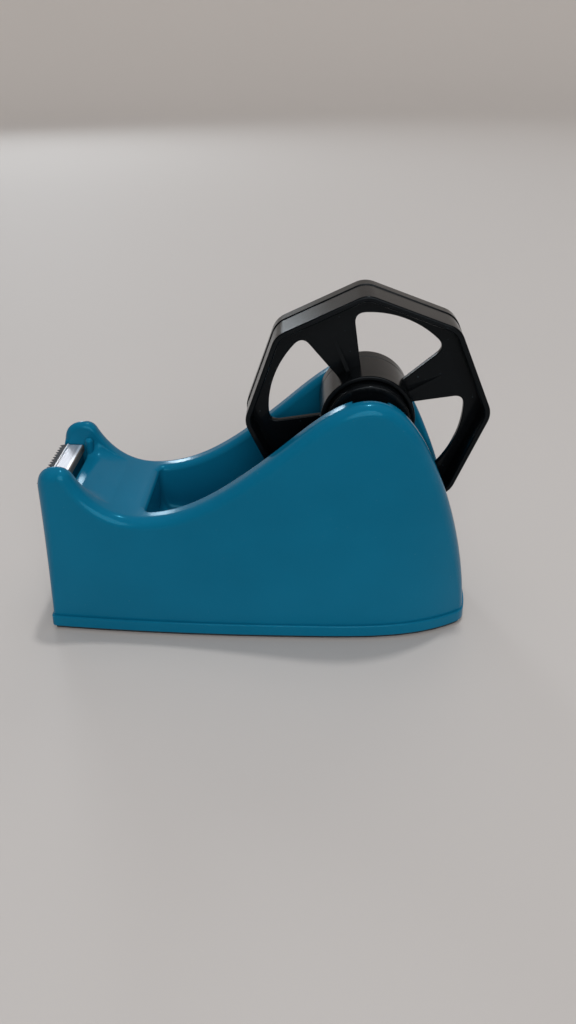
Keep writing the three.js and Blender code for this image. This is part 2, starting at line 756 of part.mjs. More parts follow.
// Base plate in the flange's pocket, with a locator ring inside the walls
function basePlate() {
  const locatorSolid = (inset, low, high) => {
    const start = frontFaceX + wallThickness + frontLean * blendStart + inset;
    const end = rearFaceX - wallThickness - inset;
    const stretch = block(start, end, -footMiddleHalf, footMiddleHalf, low, high);
    return planPlate(wallLedge + wallThickness + inset, low, high).intersect(stretch);
  };
  const locator = locatorSolid(locatorGap, plateTop - blendStart, plateTop + locatorHeight);
  const inside = locatorSolid(locatorGap + locatorThickness, plateTop - overrun, plateTop + overrun);
  const plate = joined(planPlate(plateInset, padThickness, plateTop), locator.subtract(inside));
  const hole = screwShank + seatGap;
  const head = screwHead + seatGap;
  const step = padThickness + screwHeadHeight;
  const holes = bossPlaces.map(([x, y]) => upright([
    [0, -overrun],
    [head, -overrun],
    [head, step],
    [hole, step],
    [hole, overrun],
    [0, overrun],
  ], x, y));
  return cutFrom(plate, ...holes);
}

function ballastBlock() {
  const low = wellFloorHeight - wallThickness - ballastFloorGap;
  const high = saddleHeight - wallThickness - ballastSaddleGap;
  const ballastFrontX = frontFaceX + ballastFrontReach;
  const ballastStepX = frontFaceX + ballastStepReach;
  const ballastRearX = rearFaceX - ballastRearReach;
  const outline = new THREE.Shape();
  outline.moveTo(ballastFrontX, plateTop);
  outline.lineTo(ballastRearX, plateTop);
  outline.lineTo(ballastRearX, low - ballastCorner);
  outline.lineTo(ballastRearX - ballastCorner, low);
  outline.lineTo(ballastStepX + ballastCorner, low);
  outline.lineTo(ballastStepX, low + ballastCorner);
  outline.lineTo(ballastStepX, high - ballastCorner);
  outline.lineTo(ballastStepX - ballastCorner, high);
  outline.lineTo(ballastFrontX + ballastCorner, high);
  outline.lineTo(ballastFrontX, high - ballastCorner);
  return plateAlongY(outline, -ballastHalf, ballastHalf);
}

function baseScrew(x, y) {
  const under = padThickness + screwHeadHeight;
  const tip = padThickness + screwLength;
  const slot = block(
    x - overrun,
    x + overrun,
    y - screwSlotHalf,
    y + screwSlotHalf,
    -overrun,
    padThickness + screwSlotDepth,
  );
  return upright([
    [0, padThickness],
    [screwHead, padThickness],
    [screwHead, under],
    [screwShank, under],
    [screwShank, tip - screwShank],
    [0, tip],
  ], x, y).subtract(slot);
}

// Blade: sheet steel folded down at the rear, with a raised bend behind the toothed front strip
function cutterBlade() {
  const top = seatLevel + bladeSteel;
  const bladeHalfLength = channelHalf - bladeSideGap;
  const bladeBendX = frontFaceX + bladeBendReach;
  const tip = bladeBendX - toothReach;
  const tipTop = top + toothRise - bladeSteel / 2;
  const outline = new THREE.Shape();
  outline.moveTo(bladeRearX, top - bladeFold);
  outline.lineTo(bladeRearX, top - bladeSteel);
  outline.quadraticCurveTo(bladeRearX, top, bladeRearX - bladeSteel, top);
  outline.lineTo(bladeBendX + bladeRidgeHalf, top);
  outline.quadraticCurveTo(bladeBendX, top + bladeRidge * 2, bladeBendX - bladeRidgeHalf, top);
  outline.lineTo(tip, tipTop);
  outline.lineTo(tip, tipTop - blendStart);
  outline.lineTo(bladeBendX - bladeRidgeHalf, seatLevel);
  outline.lineTo(bladeRearX - bladeSteel, seatLevel);
  outline.lineTo(bladeRearX - bladeSteel, top - bladeFold);
  const sheet = plateAlongY(outline, -bladeHalfLength, bladeHalfLength);
  const teeth = Math.round((bladeHalfLength * 2) / toothPitch);
  const gullet = tip + toothDepth;
  const wide = bladeHalfLength + overrun;
  const zigzag = [[tip - overrun, -wide], [gullet, -wide]];
  for (let i = 0; i <= teeth * 2; i += 1) {
    zigzag.push([i % 2 === 0 ? gullet : tip, -bladeHalfLength + (bladeHalfLength * i) / teeth]);
  }
  zigzag.push([gullet, wide], [tip - overrun, wide]);
  const at = (z) => zigzag.map(([x, y]) => new THREE.Vector3(x, y, z));
  return sheet.subtract(sweptSolid([at(seatLevel - overrun), at(top + overrun)], inPlan));
}

function axleRod() {
  const end = axleHalfLength;
  const axleFlatStart = hubHalf - seatGap;
  const eased = axleRadius - axleChamfer;
  const wide = axleRadius + overrun;
  const rod = turned([
    [0, -end],
    [eased, -end],
    [axleRadius, -end + axleChamfer],
    [axleRadius, end - axleChamfer],
    [eased, end],
    [0, end],
  ]);
  const flats = [
    block(-wide, -axleFlatHalf, -span, -axleFlatStart, -wide, wide),
    block(axleFlatHalf, wide, -span, -axleFlatStart, -wide, wide),
    block(-wide, -axleFlatHalf, axleFlatStart, span, -wide, wide),
    block(axleFlatHalf, wide, axleFlatStart, span, -wide, wide),
  ];
  return cutFrom(rod, ...flats);
}

function coreDrum() {
  const inner = drumRadius - drumWall;
  const bearing = boreRadius + bearingWall;
  const wallNear = drumNearY + drumRecess;
  const wallFar = wallNear + drumEndWall;
  const tubeEnd = drumFarY - capThickness - capSeam;
  const bearingEnd = tubeEnd - seatGap;
  const shell = turned([
    [drumRadius - drumChamfer, drumNearY],
    [drumRadius, drumNearY + drumChamfer],
    [drumRadius, tubeEnd],
    [inner, tubeEnd],
    [inner, wallFar],
    [bearing, wallFar],
    [bearing, bearingEnd],
    [boreRadius, bearingEnd],
    [boreRadius, wallNear],
    [inner, wallNear],
    [inner, drumNearY],
    [drumRadius - drumChamfer, drumNearY],
  ]);
  const ribs = Array.from({ length: drumRibCount }, (unused, k) => block(
    bearing - blendStart,
    inner + blendStart,
    wallFar - blendStart,
    tubeEnd - capSpigot - seatGap,
    -drumRibThickness / 2,
    drumRibThickness / 2,
    (Math.PI * 2 * k) / drumRibCount,
  ));
  return joined(shell, ...ribs);
}

function drumCap() {
  const seat = drumFarY - capThickness;
  const spigot = drumRadius - drumWall - seatGap;
  return turned([
    [boreRadius, seat],
    [spigot - capSpigotWall, seat],
    [spigot - capSpigotWall, seat - capSpigot],
    [spigot, seat - capSpigot],
    [spigot, seat],
    [drumRadius, seat],
    [drumRadius, drumFarY - drumChamfer],
    [drumRadius - drumChamfer, drumFarY],
    [boreRadius, drumFarY],
    [boreRadius, seat],
  ]);
}

// Octagon with rounded corners and one flat square to +Z
function octagon(radius, corner) {
  const outline = new THREE.Shape();
  const trim = corner * Math.tan(Math.PI / wheelSides);
  const side = Math.PI * 2 / wheelSides;
  const vertex = (k) => new THREE.Vector2(radius, 0).rotateAround(new THREE.Vector2(), side * (k + 0.5));
  for (let k = 0; k < wheelSides; k += 1) {
    const tip = vertex(k);
    const start = vertex(k - 1).sub(tip).setLength(trim).add(tip);
    const end = vertex(k + 1).sub(tip).setLength(trim).add(tip);
    if (k === 0) outline.moveTo(start.x, start.y);
    else outline.lineTo(start.x, start.y);
    outline.quadraticCurveTo(tip.x, tip.y, end.x, end.y);
  }
  outline.closePath();
  return outline;
}

// Window centred on an angle from +X: a sector with rounded outer corners
function windowOutline(middle) {
  const inner = sleeveBore - overrun;
  const windowRadius = wheelRadius - windowInset;
  const spread = windowSpan / 2;
  const step = windowCorner / windowRadius;
  const at = (radius, angle) => [radius * Math.cos(middle + angle), radius * Math.sin(middle + angle)];
  const outline = new THREE.Shape();
  outline.moveTo(...at(inner, -spread));
  outline.lineTo(...at(windowRadius - windowCorner, -spread));
  outline.quadraticCurveTo(...at(windowRadius, -spread), ...at(windowRadius, -spread + step));
  outline.absarc(0, 0, windowRadius, middle - spread + step, middle + spread - step, false);
  outline.quadraticCurveTo(...at(windowRadius, spread), ...at(windowRadius - windowCorner, spread));
  outline.lineTo(...at(inner, spread));
  return outline;
}

function coreWheel() {
  const wallSlant = wheelWall / Math.cos(Math.PI / wheelSides);
  const ring = octagon(wheelRadius, wheelCorner);
  ring.holes.push(octagon(wheelRadius - wallSlant, wheelCorner - wheelWall));
  const rimRing = plateAlongY(ring, wheelNearY, wheelFarY, wheelEdge, 5);
  const webOutline = octagon(wheelRadius - wallSlant + blendStart, wheelCorner - wheelWall);
  const web = plateAlongY(webOutline, webNearY, webNearY + webThickness, 0, 5);
  const windows = Array.from({ length: windowCount }, (unused, k) => {
    return plateAlongY(windowOutline(rightAngle * k), webNearY - overrun, webNearY + overrun);
  });
  const bore = turned([[0, -span], [sleeveBore, -span], [sleeveBore, span], [0, span]]);
  const sleeveNearY = wheelNearY - sleeveNearStep;
  const sleeveFarY = drumFarY - sleeveFarGap;
  const sleeve = turned([
    [sleeveBore, sleeveNearY],
    [sleeveRadius - sleeveChamfer, sleeveNearY],
    [sleeveRadius, sleeveNearY + sleeveChamfer],
    [sleeveRadius, sleeveFarY - sleeveChamfer],
    [sleeveRadius - sleeveChamfer, sleeveFarY],
    [sleeveBore, sleeveFarY],
    [sleeveBore, sleeveNearY],
  ]);
  const ribReach = wheelRadius * Math.cos(Math.PI / wheelSides) - wheelWall / 2;
  const ribs = Array.from({ length: windowCount }, (unused, k) => block(
    sleeveRadius - blendStart,
    ribReach,
    webNearY - spokeRibRise,
    webNearY + blendStart,
    -spokeRibThickness / 2,
    spokeRibThickness / 2,
    rightAngle * (k + 0.5),
  ));
  return joined(cutFrom(web, ...windows, bore), sleeve, rimRing, ...ribs);
}

// Assembly: body on its base, and the reel in its own group at the slots' seat
const group = new THREE.Group();
group.name = "tape_dispenser";
const reel = new THREE.Group();
reel.name = "reel";
reel.position.set(hubX, 0, hubHeight);
group.add(reel);

function place(parent, name, solid, color, roughness, metalness = 0) {
  const mesh = new THREE.Mesh(
    geometryOf(solid),
    new THREE.MeshStandardMaterial({ name: `${name}_finish`, color, roughness, metalness }),
  );
  mesh.name = name;
  parent.add(mesh);
  return mesh;
}

const teal = 0x0e5878;
const black = 0x0b0c0e;
const steel = 0xc8cccf;
const rubber = 0x17181a;
const iron = 0x3b3d40;

place(group, "body_shell", bodyShell(), teal, 0.3);
place(group, "base_plate", basePlate(), teal, 0.3);
place(group, "nonslip_pad", planPlate(padInset, 0, padThickness), rubber, 0.9);
place(group, "ballast_block", ballastBlock(), iron, 0.8, 0.6);
bossPlaces.forEach(([x, y], k) => {
  place(group, `base_screw_${k + 1}`, baseScrew(x, y), steel, 0.35, 1);
});
place(group, "cutter_blade", cutterBlade(), steel, 0.3, 1);
place(reel, "axle", axleRod(), black, 0.4);
place(reel, "core_drum", coreDrum(), black, 0.35);
place(reel, "drum_cap", drumCap(), black, 0.35);
const wheel = place(reel, "core_wheel", coreWheel(), black, 0.2);
wheel.rotation.y = wheelTurn;

export default group;
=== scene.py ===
"""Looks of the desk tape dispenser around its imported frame. Metres, +Z up, the blade end at -X."""

import math

import bmesh
import bpy
from mathutils import Matrix, Vector


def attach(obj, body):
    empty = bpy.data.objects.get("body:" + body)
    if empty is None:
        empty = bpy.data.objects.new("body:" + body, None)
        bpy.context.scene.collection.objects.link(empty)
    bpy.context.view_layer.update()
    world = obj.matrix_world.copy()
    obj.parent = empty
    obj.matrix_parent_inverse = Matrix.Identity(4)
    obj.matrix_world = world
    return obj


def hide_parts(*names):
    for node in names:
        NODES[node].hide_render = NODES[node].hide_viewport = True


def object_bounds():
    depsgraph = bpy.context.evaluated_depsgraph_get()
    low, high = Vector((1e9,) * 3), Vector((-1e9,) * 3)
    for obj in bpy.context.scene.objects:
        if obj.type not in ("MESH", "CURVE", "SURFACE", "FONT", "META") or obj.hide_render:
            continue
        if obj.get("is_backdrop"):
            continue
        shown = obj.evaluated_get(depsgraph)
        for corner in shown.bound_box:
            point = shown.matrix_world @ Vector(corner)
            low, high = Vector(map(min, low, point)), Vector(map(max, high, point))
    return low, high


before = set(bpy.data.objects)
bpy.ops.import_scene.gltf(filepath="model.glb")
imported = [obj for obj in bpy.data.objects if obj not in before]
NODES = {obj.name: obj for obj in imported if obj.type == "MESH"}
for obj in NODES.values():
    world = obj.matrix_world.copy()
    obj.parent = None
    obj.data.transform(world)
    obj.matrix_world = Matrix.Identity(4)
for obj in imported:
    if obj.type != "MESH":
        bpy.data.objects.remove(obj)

CAD_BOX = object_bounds()


# ---------------------------------------------------------------- materials
def srgb(r, g, b):
    def linear(v):
        v /= 255.0
        return v / 12.92 if v <= 0.04045 else ((v + 0.055) / 1.055) ** 2.4

    return (linear(r), linear(g), linear(b), 1.0)


class Shader:
    """A principled material whose nodes are added by short calls."""

    def __init__(self, name):
        self.material = bpy.data.materials.new(name)
        self.material.use_nodes = True
        self.tree = self.material.node_tree
        self.bsdf = self.tree.nodes["Principled BSDF"]
        self.place = self.tree.nodes.new("ShaderNodeTexCoord").outputs["Object"]

    def set(self, **values):
        for key, value in values.items():
            self.bsdf.inputs[key.replace("_", " ")].default_value = value
        return self

    def node(self, kind, inputs=(), **settings):
        node = self.tree.nodes.new("ShaderNode" + kind)
        for key, value in settings.items():
            setattr(node, key, value)
        for key, value in dict(inputs).items():
            if isinstance(value, bpy.types.NodeSocket):
                self.tree.links.new(value, node.inputs[key])
            else:
                node.inputs[key].default_value = value
        return node

    def noise(self, scale, detail=2.0, rough=0.5, stretch=None):
        source = self.place
        if stretch:
            source = self.node("Mapping", {"Vector": source, "Scale": stretch}).outputs["Vector"]
        inputs = {"Vector": source, "Scale": scale, "Detail": detail, "Roughness": rough}
        return self.node("TexNoise", inputs).outputs["Fac"]

    def ramp(self, source, low, high, start=0.0, end=1.0):
        inputs = {"Value": source, "From Min": low, "From Max": high, "To Min": start, "To Max": end}
        return self.node("MapRange", inputs).outputs["Result"]

    def mix(self, factor, one, two):
        node = self.node("Mix", data_type="RGBA")
        sockets = {s.identifier: s for s in node.inputs}
        for key, value in (("Factor_Float", factor), ("A_Color", one), ("B_Color", two)):
            if isinstance(value, bpy.types.NodeSocket):
                self.tree.links.new(value, sockets[key])
            else:
                sockets[key].default_value = value
        return next(s for s in node.outputs if s.identifier == "Result_Color")

    def link(self, source, name):
        self.tree.links.new(source, self.bsdf.inputs[name])
        return self

    def bump(self, height, strength, distance):
        inputs = {"Height": height, "Strength": strength, "Distance": distance}
        return self.node("Bump", inputs).outputs["Normal"]

    def maths(self, operation, *values):
        return self.node("Math", dict(enumerate(values)), operation=operation).outputs[0]


def moulded(name, colour, darker, roughness, coat, level, tint):
    """Gloss moulded plastic: a faint cloudiness, orange peel, a few fine scratches and specks of dust."""
    s = Shader(name).set(Coat_Weight=coat, Coat_Roughness=0.05, IOR=1.5)
    s.set(Specular_IOR_Level=level, Specular_Tint=tint)
    cloud = s.ramp(s.noise(26.0, 3.0), 0.35, 0.65)
    shade = s.mix(cloud, darker, colour)
    dust = s.ramp(s.noise(1700.0, 1.0), 0.79, 0.82, 0.0, 0.3)
    s.link(s.mix(dust, shade, srgb(120, 150, 160)), "Base Color")
    scratch = s.ramp(s.noise(70.0, 1.0, 0.5, (1.0, 5.0, 9.0)), 0.7, 0.74)
    cloudy = s.ramp(s.noise(34.0, 3.0), 0.3, 0.7, roughness * 0.85, roughness * 1.2)
    s.link(s.maths("MULTIPLY_ADD", scratch, 0.03, cloudy), "Roughness")
    s.link(s.bump(s.noise(150.0, 1.0), 0.06, 0.0006), "Normal")
    return s.material


# Where the blade's colour changes along X: from, to, and the colour from there on, all painted light: bright
# bands are painted highlights, dark bands painted shade
# painted highlight along the edge of the fold
BLADE_FOLD_EDGE_HIGHLIGHT = (-0.0634, -0.0631, srgb(252, 252, 255))
# painted shade on the fold face, which turns away from the light
BLADE_FOLD_SHADE = (-0.0625, -0.0623, srgb(138, 128, 120))
# painted highlight along the bend behind the teeth
BLADE_BEND_HIGHLIGHT = (-0.0669, -0.067, srgb(252, 252, 255))
# painted shade on the teeth, which tilt away and reflect dark
BLADE_TEETH_SHADE = (-0.0674, -0.0677, srgb(86, 88, 92))


def sheet_steel(name):
    """Bright pressed steel with rolling marks, with painted shade on the teeth and the fold and painted
    highlights along the bends.
    """
    s = Shader(name).set(Metallic=1.0)
    marks = s.noise(500.0, 3.0, 0.6, (6.0, 0.25, 6.0))
    along = s.node("SeparateXYZ", {"Vector": s.place}).outputs["X"]
    sheet = s.mix(s.ramp(marks, 0.3, 0.7), srgb(198, 198, 203), srgb(226, 226, 231))
    # paints the highlight and shade bands over the steel, one after another along X
    for start, end, colour in (BLADE_FOLD_EDGE_HIGHLIGHT, BLADE_FOLD_SHADE, BLADE_BEND_HIGHLIGHT, BLADE_TEETH_SHADE):
        reached = s.ramp(along, start, end)
        sheet = s.mix(reached, sheet, colour)
    s.link(sheet, "Base Color")
    polish = s.ramp(marks, 0.3, 0.7, 0.5, 0.6)
    s.link(s.maths("MULTIPLY_ADD", reached, 0.2, polish), "Roughness")
    s.link(s.bump(marks, 0.1, 0.0001), "Normal")
    return s.material


def screw_steel(name):
    s = Shader(name).set(Metallic=1.0)
    marks = s.noise(900.0, 2.0)
    s.link(s.mix(marks, srgb(150, 152, 152), srgb(200, 201, 200)), "Base Color")
    s.link(s.ramp(marks, 0.3, 0.7, 0.3, 0.5), "Roughness")
    return s.material


def foam_rubber(name):
    s = Shader(name)
    grain = s.noise(1500.0, 3.0, 0.7)
    s.link(s.mix(s.ramp(grain, 0.3, 0.7), srgb(16, 17, 19), srgb(36, 37, 40)), "Base Color")
    s.link(s.ramp(grain, 0.3, 0.7, 0.75, 0.95), "Roughness")
    s.link(s.bump(grain, 0.4, 0.0003), "Normal")
    return s.material


def cast_iron(name):
    s = Shader(name).set(Metallic=0.7)
    grain = s.noise(700.0, 4.0, 0.65)
    s.link(s.mix(s.ramp(grain, 0.3, 0.7), srgb(46, 47, 49), srgb(86, 84, 82)), "Base Color")
    s.link(s.ramp(grain, 0.3, 0.7, 0.6, 0.85), "Roughness")
    s.link(s.bump(grain, 0.5, 0.0005), "Normal")
    return s.material


TEAL_TINT, BLACK_TINT = (0.06, 0.7, 1.0, 1.0), (0.8, 0.92, 1.0, 1.0)
TEAL = moulded("teal_gloss", srgb(11, 102, 134), srgb(9, 97, 128), 0.19, 0.06, 0.24, TEAL_TINT)
BLACK = moulded("black_gloss", srgb(10, 12, 14), srgb(6, 8, 10), 0.2, 0.05, 0.1, BLACK_TINT)
BLADE = sheet_steel("blade_steel")
SCREW = screw_steel("screw_steel")
RUBBER = foam_rubber("pad_rubber")
IRON = cast_iron("ballast_iron")

FINISH = {
    "body_shell": TEAL,
    "base_plate": TEAL,
    "nonslip_pad": RUBBER,
    "ballast_block": IRON,
    "base_screw_1": SCREW,
    "base_screw_2": SCREW,
    "base_screw_3": SCREW,
    "base_screw_4": SCREW,
    "cutter_blade": BLADE,
    "axle": BLACK,
    "core_drum": BLACK,
    "drum_cap": BLACK,
    "core_wheel": BLACK,
}
for name, material in FINISH.items():
    for slot in NODES[name].material_slots:
        slot.material = material

# ---------------------------------------------------------------- body shell
# The shell's visible piece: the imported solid's own sections with more of them, in millimetres
MM = 0.001
RIGHT = math.pi / 2
OVER = 6.0  # how far a cutting shape stands out past what it cuts
SLIP = 0.012  # keeps two cutting shapes from sharing a face
GAP = 0.3
ROUND = 12  # steps in a rounded edge
SKY, SKY_X = 260.0, -45.0  # reach and centre of the shape that cuts everything over the rim

FOOT_LONG, FOOT_FRONT, FOOT_MIDDLE, FOOT_REAR = 142.0, 20.9, 24.195, 12.3
FOOT_MIDDLE_X, FOOT_BOW, FOOT_TAPER = 5.0, 2.0, 4.1
FOOT_FRONT_CORNER, FOOT_REAR_CORNER = 1.8, 2.4
PAD, PLATE, FLANGE, FLANGE_DRAFT, FLANGE_EASE = 1.5, 2.4, 3.9, 0.2, 0.5
PLATE_INSET, LEDGE, WALL, SEAM, SIDE_DRAFT, LEAN = 2.5, 1.2, 2.2, 0.25, 0.7, 2.1
EDGE, NOSE_EDGE, FOOT_EDGE, LIP = 3.6, 4.2, 1.2, 2.2
BULGE, BULGE_RISE = 1.2, 34.0

HUB_Z, HUMP_Z, SADDLE_Z, WING_Z = 73.3, 83.6, 44.0, 59.8
SEAT_Z, LIP_Z, PIT_Z = 51.9, 49.7, 44.0
FLANGE_Z = PAD + FLANGE
FOOT_END = FOOT_LONG / 2
FRONT_X, REAR_X = -70.8, 68.8
WING_FRONT_X, WING_REAR_X, SADDLE_X, HUB_X = -68.7, -60.6, -38.0, 33.0
PIT_X, LIP_X = -62.8, -60.9

WING_ROUND, WING_PULL, CREST_LIFT, CREST_BACK = 7.4, 0.6, 0.4, 0.6
WELL_X, WELL_HALF, WELL_FLOOR, WELL_ROLL = -36.5, 14.5, 22.3, 51.0
WELL_RISE, WELL_CORNER, WELL_PLAN_CORNER = 5.0, 4.0, 2.0
CHANNEL_HALF, CHANNEL_CORNER, CHANNEL_REAR_X = 14.5, 5.0, -43.5
WING_TROUGH_X, WING_TROUGH_FADE = -56.0, 4.6
ROOM_TOP, ROOM_STEP_X = 41.5, -51.5

SLOT_HALF, SLOT_MOUTH_HALF, AXLE_BORE, SLOT_END = 4.2, 6.2, 4.8, 17.9
BLOCK_HALF, BLOCK_Z = 10.0, 61.3
BOSSES = [(-60.5, -12.5), (-60.5, 12.5), (56.5, 9.5), (56.5, -9.5)]
BOSS_R, PILOT_R, PILOT_TOP = 3.4, 1.52, 16.4
STUD_X, STUD_Y, STUD_R, STUD_TOP = -59.7, 13.5, 1.4, 55.4


def foot_half(x):
    if x < FOOT_MIDDLE_X:
        share = (FOOT_MIDDLE_X - x) / (FOOT_MIDDLE_X + FOOT_END)
        return FOOT_MIDDLE - (FOOT_MIDDLE - FOOT_FRONT) * share**2
    share = (x - FOOT_MIDDLE_X) / (FOOT_END - FOOT_MIDDLE_X)
    return FOOT_MIDDLE - (FOOT_MIDDLE - FOOT_REAR) * share**FOOT_TAPER


def side_half(x, z):
    return foot_half(x) - LEDGE - SIDE_DRAFT * (z - FLANGE_Z) / (HUMP_Z - FLANGE_Z)


def bezier(points, count):
    """Points of a curve through its first and last control points, the first one left out."""
    order = len(points) - 1

    def at(t, axis):
        weights = (math.comb(order, k) * (1 - t) ** (order - k) * t**k for k in range(order + 1))
        return sum(weight * point[axis] for weight, point in zip(weights, points))

    return [(at(i / count, 0), at(i / count, 1)) for i in range(1, count + 1)]


def mirrored(points, z):
    """Ring at a height from the points of its +Y half."""
    return [(x, y, z) for x, y in points] + [(x, -y, z) for x, y in reversed(points)]


def swept(name, sections):
    """Closed mesh through rows of points, capped at both ends."""
    count = len(sections[0])
    mesh = bmesh.new()
    rows = [[mesh.verts.new(p) for p in section] for section in sections]
    for low, high in zip(rows, rows[1:]):
        for j in range(count):
            k = (j + 1) % count
            mesh.faces.new((low[j], low[k], high[k], high[j]))
    mesh.faces.new(rows[0][::-1])
    mesh.faces.new(rows[-1])
    return closed(name, mesh)


def closed(name, mesh):
    """Object of a finished mesh, its doubles merged and its faces turned outwards."""
    bmesh.ops.remove_doubles(mesh, verts=mesh.verts, dist=1e-4)
    bmesh.ops.triangulate(mesh, faces=mesh.faces)
    bmesh.ops.remove_doubles(mesh, verts=mesh.verts, dist=1e-4)
    if mesh.calc_volume(signed=True) < 0:
        bmesh.ops.reverse_faces(mesh, faces=mesh.faces)
    data = bpy.data.meshes.new(name)
    mesh.to_mesh(data)
    mesh.free()
    piece = bpy.data.objects.new(name, data)
    bpy.context.scene.collection.objects.link(piece)
    return piece


def baked(piece):
    """Modifiers of a piece turned into its own mesh."""
    evaluated = piece.evaluated_get(bpy.context.evaluated_depsgraph_get())
    data = bpy.data.meshes.new_from_object(evaluated)
    piece.modifiers.clear()
    piece.data = data


def combined(piece, tools, operation):
    """Boolean of a piece with tools, which are used up."""
    for tool in tools:
        boolean = piece.modifiers.new(tool.name, "BOOLEAN")
        boolean.object = tool
        boolean.operation = operation
        boolean.solver = "MANIFOLD"
    baked(piece)
    for tool in tools:
        bpy.data.objects.remove(tool)
    return piece


def plan_ring(inset, z, steps=48, corner_steps=10):
    """The foot's outline, set in evenly."""
    front, rear = -FOOT_END + inset, FOOT_END - inset
    side_end = rear - FOOT_BOW
    half = lambda x: foot_half(x) - inset
    rear_at = lambda y: rear - FOOT_BOW * (y / half(side_end)) ** 2
    fc = max(FOOT_FRONT_CORNER - inset, inset / 2)
    rc = max(FOOT_REAR_CORNER - inset, inset / 2)
    start = (front, half(front) - fc)
    points = [start] + bezier([start, (front, half(front)), (front + fc, half(front + fc))], corner_steps)
    run = side_end - rc - (front + fc)
    for i in range(1, steps):
        x = front + fc + run * math.sin(RIGHT * i / steps)
        points.append((x, half(x)))
    corner_end = half(side_end) - rc
    bend = [(side_end - rc, half(side_end - rc)), (side_end, half(side_end))]
    bend.append((rear_at(corner_end), corner_end))
    points += [bend[0]] + bezier(bend, corner_steps)
    for share in (0.83, 0.67, 0.5, 0.33, 0.17, 0.0):
        points.append((rear_at(corner_end * share), corner_end * share))
    return mirrored(points, z)


def side_ring(inset, z, steps=96):
    """The two flanks at a height, running past both ends of the foot."""
    span = FOOT_END + OVER
    places = [-span + span * 2 * math.sin(RIGHT * i / steps) for i in range(steps + 1)]
    return mirrored([(x, side_half(x, z) - inset) for x in places], z)


def rim_points():
    """Side view of the rim: up the front, over the wing, along the saddle, over the hump, down the rear."""

    def between(x0, x1, z0, z1):
        return lambda pairs: [(x0 + (x1 - x0) * u, z0 + (z1 - z0) * v) for u, v in pairs]

    wing = between(WING_REAR_X, SADDLE_X, SADDLE_Z, WING_Z)
    rise = between(SADDLE_X, HUB_X, SADDLE_Z, HUMP_Z)
    fall = between(HUB_X, REAR_X, 0.0, HUMP_Z)
    shoulder, pull = WING_Z - WING_ROUND, WING_ROUND * WING_PULL
    crest_x, crest = WING_FRONT_X + WING_ROUND - CREST_BACK, WING_Z + CREST_LIFT
    front = between(FRONT_X, WING_FRONT_X, -OVER, shoulder)
    points = front([(i / 14, i / 14) for i in range(15)])
    round_over = [(WING_FRONT_X, shoulder + pull), (crest_x - pull, crest), (crest_x, crest)]
    points += bezier([points[-1]] + round_over, 16)
    points += bezier([points[-1], (WING_REAR_X + 2.07, crest)] + wing([(0.147, 0.86)]), 16)
    points += bezier([points[-1]] + wing([(0.3, 0.4), (0.56, 0.0), (1.0, 0.0)]), 30)
    points += bezier([points[-1]] + rise([(0.197, 0.0), (0.352, 0.192), (0.521, 0.431)]), 30)
    points += bezier([points[-1]] + rise([(0.718, 0.711), (0.845, 1.0), (1.0, 1.0)]), 30)
    points += bezier([points[-1]] + fall([(0.308, 1.0), (0.496, 0.825), (0.643, 0.684)]), 24)
    points += bezier([points[-1]] + fall([(0.804, 0.53), (0.979, 0.263)]) + [(REAR_X, FLANGE_Z)], 30)
    points.append((REAR_X, -OVER))
    return points


def rim_stations():
    """The rim's points with their normals, distance travelled, edge rounding and rear bulge."""
    points = rim_points()
    points = [p for i, p in enumerate(points) if i == 0 or math.dist(p, points[i - 1]) > 0.02]
    last = len(points) - 1
    rows, travelled = [], 0.0
    for i, (x, z) in enumerate(points):
        a, b = points[max(i - 1, 0)], points[min(i + 1, last)]
        reach_in, reach_out = math.dist((x, z), a), math.dist((x, z), b)
        travelled += reach_in
        into = ((x - a[0]) / reach_in, (z - a[1]) / reach_in) if i else (0.0, 0.0)
        out = ((b[0] - x) / reach_out, (b[1] - z) / reach_out) if i < last else (0.0, 0.0)
        along = (into[0] + out[0], into[1] + out[1])
        size = math.hypot(*along)
        turn = out[0] * into[1] - out[1] * into[0]
        bend = min(reach_in, reach_out) / turn if 0 < i < last and turn > 1e-6 else SKY
        rise = min(max((z - FLANGE_Z) / (SEAT_Z - FLANGE_Z), 0.0), 1.0)
        full = NOSE_EDGE if x < WING_REAR_X else EDGE
        aim = min(FOOT_EDGE + (full - FOOT_EDGE) * math.sin(RIGHT * rise), bend * 0.9)
        low = min(max((z - FLANGE_Z) / BULGE_RISE, 0.0), 1.0)
        bulge = BULGE * math.cos(RIGHT * low) ** 2 if x > HUB_X else 0.0
        nx, nz = -along[1] / size, along[0] / size
        rows.append(dict(x=x, z=z, nx=nx, nz=nz, t=travelled, aim=aim, bulge=bulge))
    for row in rows:
        apart = lambda other: math.hypot(other["x"] - row["x"], other["z"] - row["z"])
        row["round"] = min(other["aim"] + apart(other) * 0.5 for other in rows)
    return rows


RIM = rim_stations()


def travel_where(height):
    """Distance travelled along the rim where a height over it first turns positive."""
    for a, b in zip(RIM, RIM[1:]):
        if height(a) <= 0 < height(b):
            return a["t"] + (b["t"] - a["t"]) * height(a) / (height(a) - height(b))


def station_at(t):
    i = next((i for i, row in enumerate(RIM) if row["t"] >= t and i), len(RIM) - 1)
    a, b = RIM[i - 1], RIM[i]
    share = (t - a["t"]) / (b["t"] - a["t"])
    return {key: a[key] + (b[key] - a[key]) * share for key in ("x", "z", "nx", "nz", "t")}


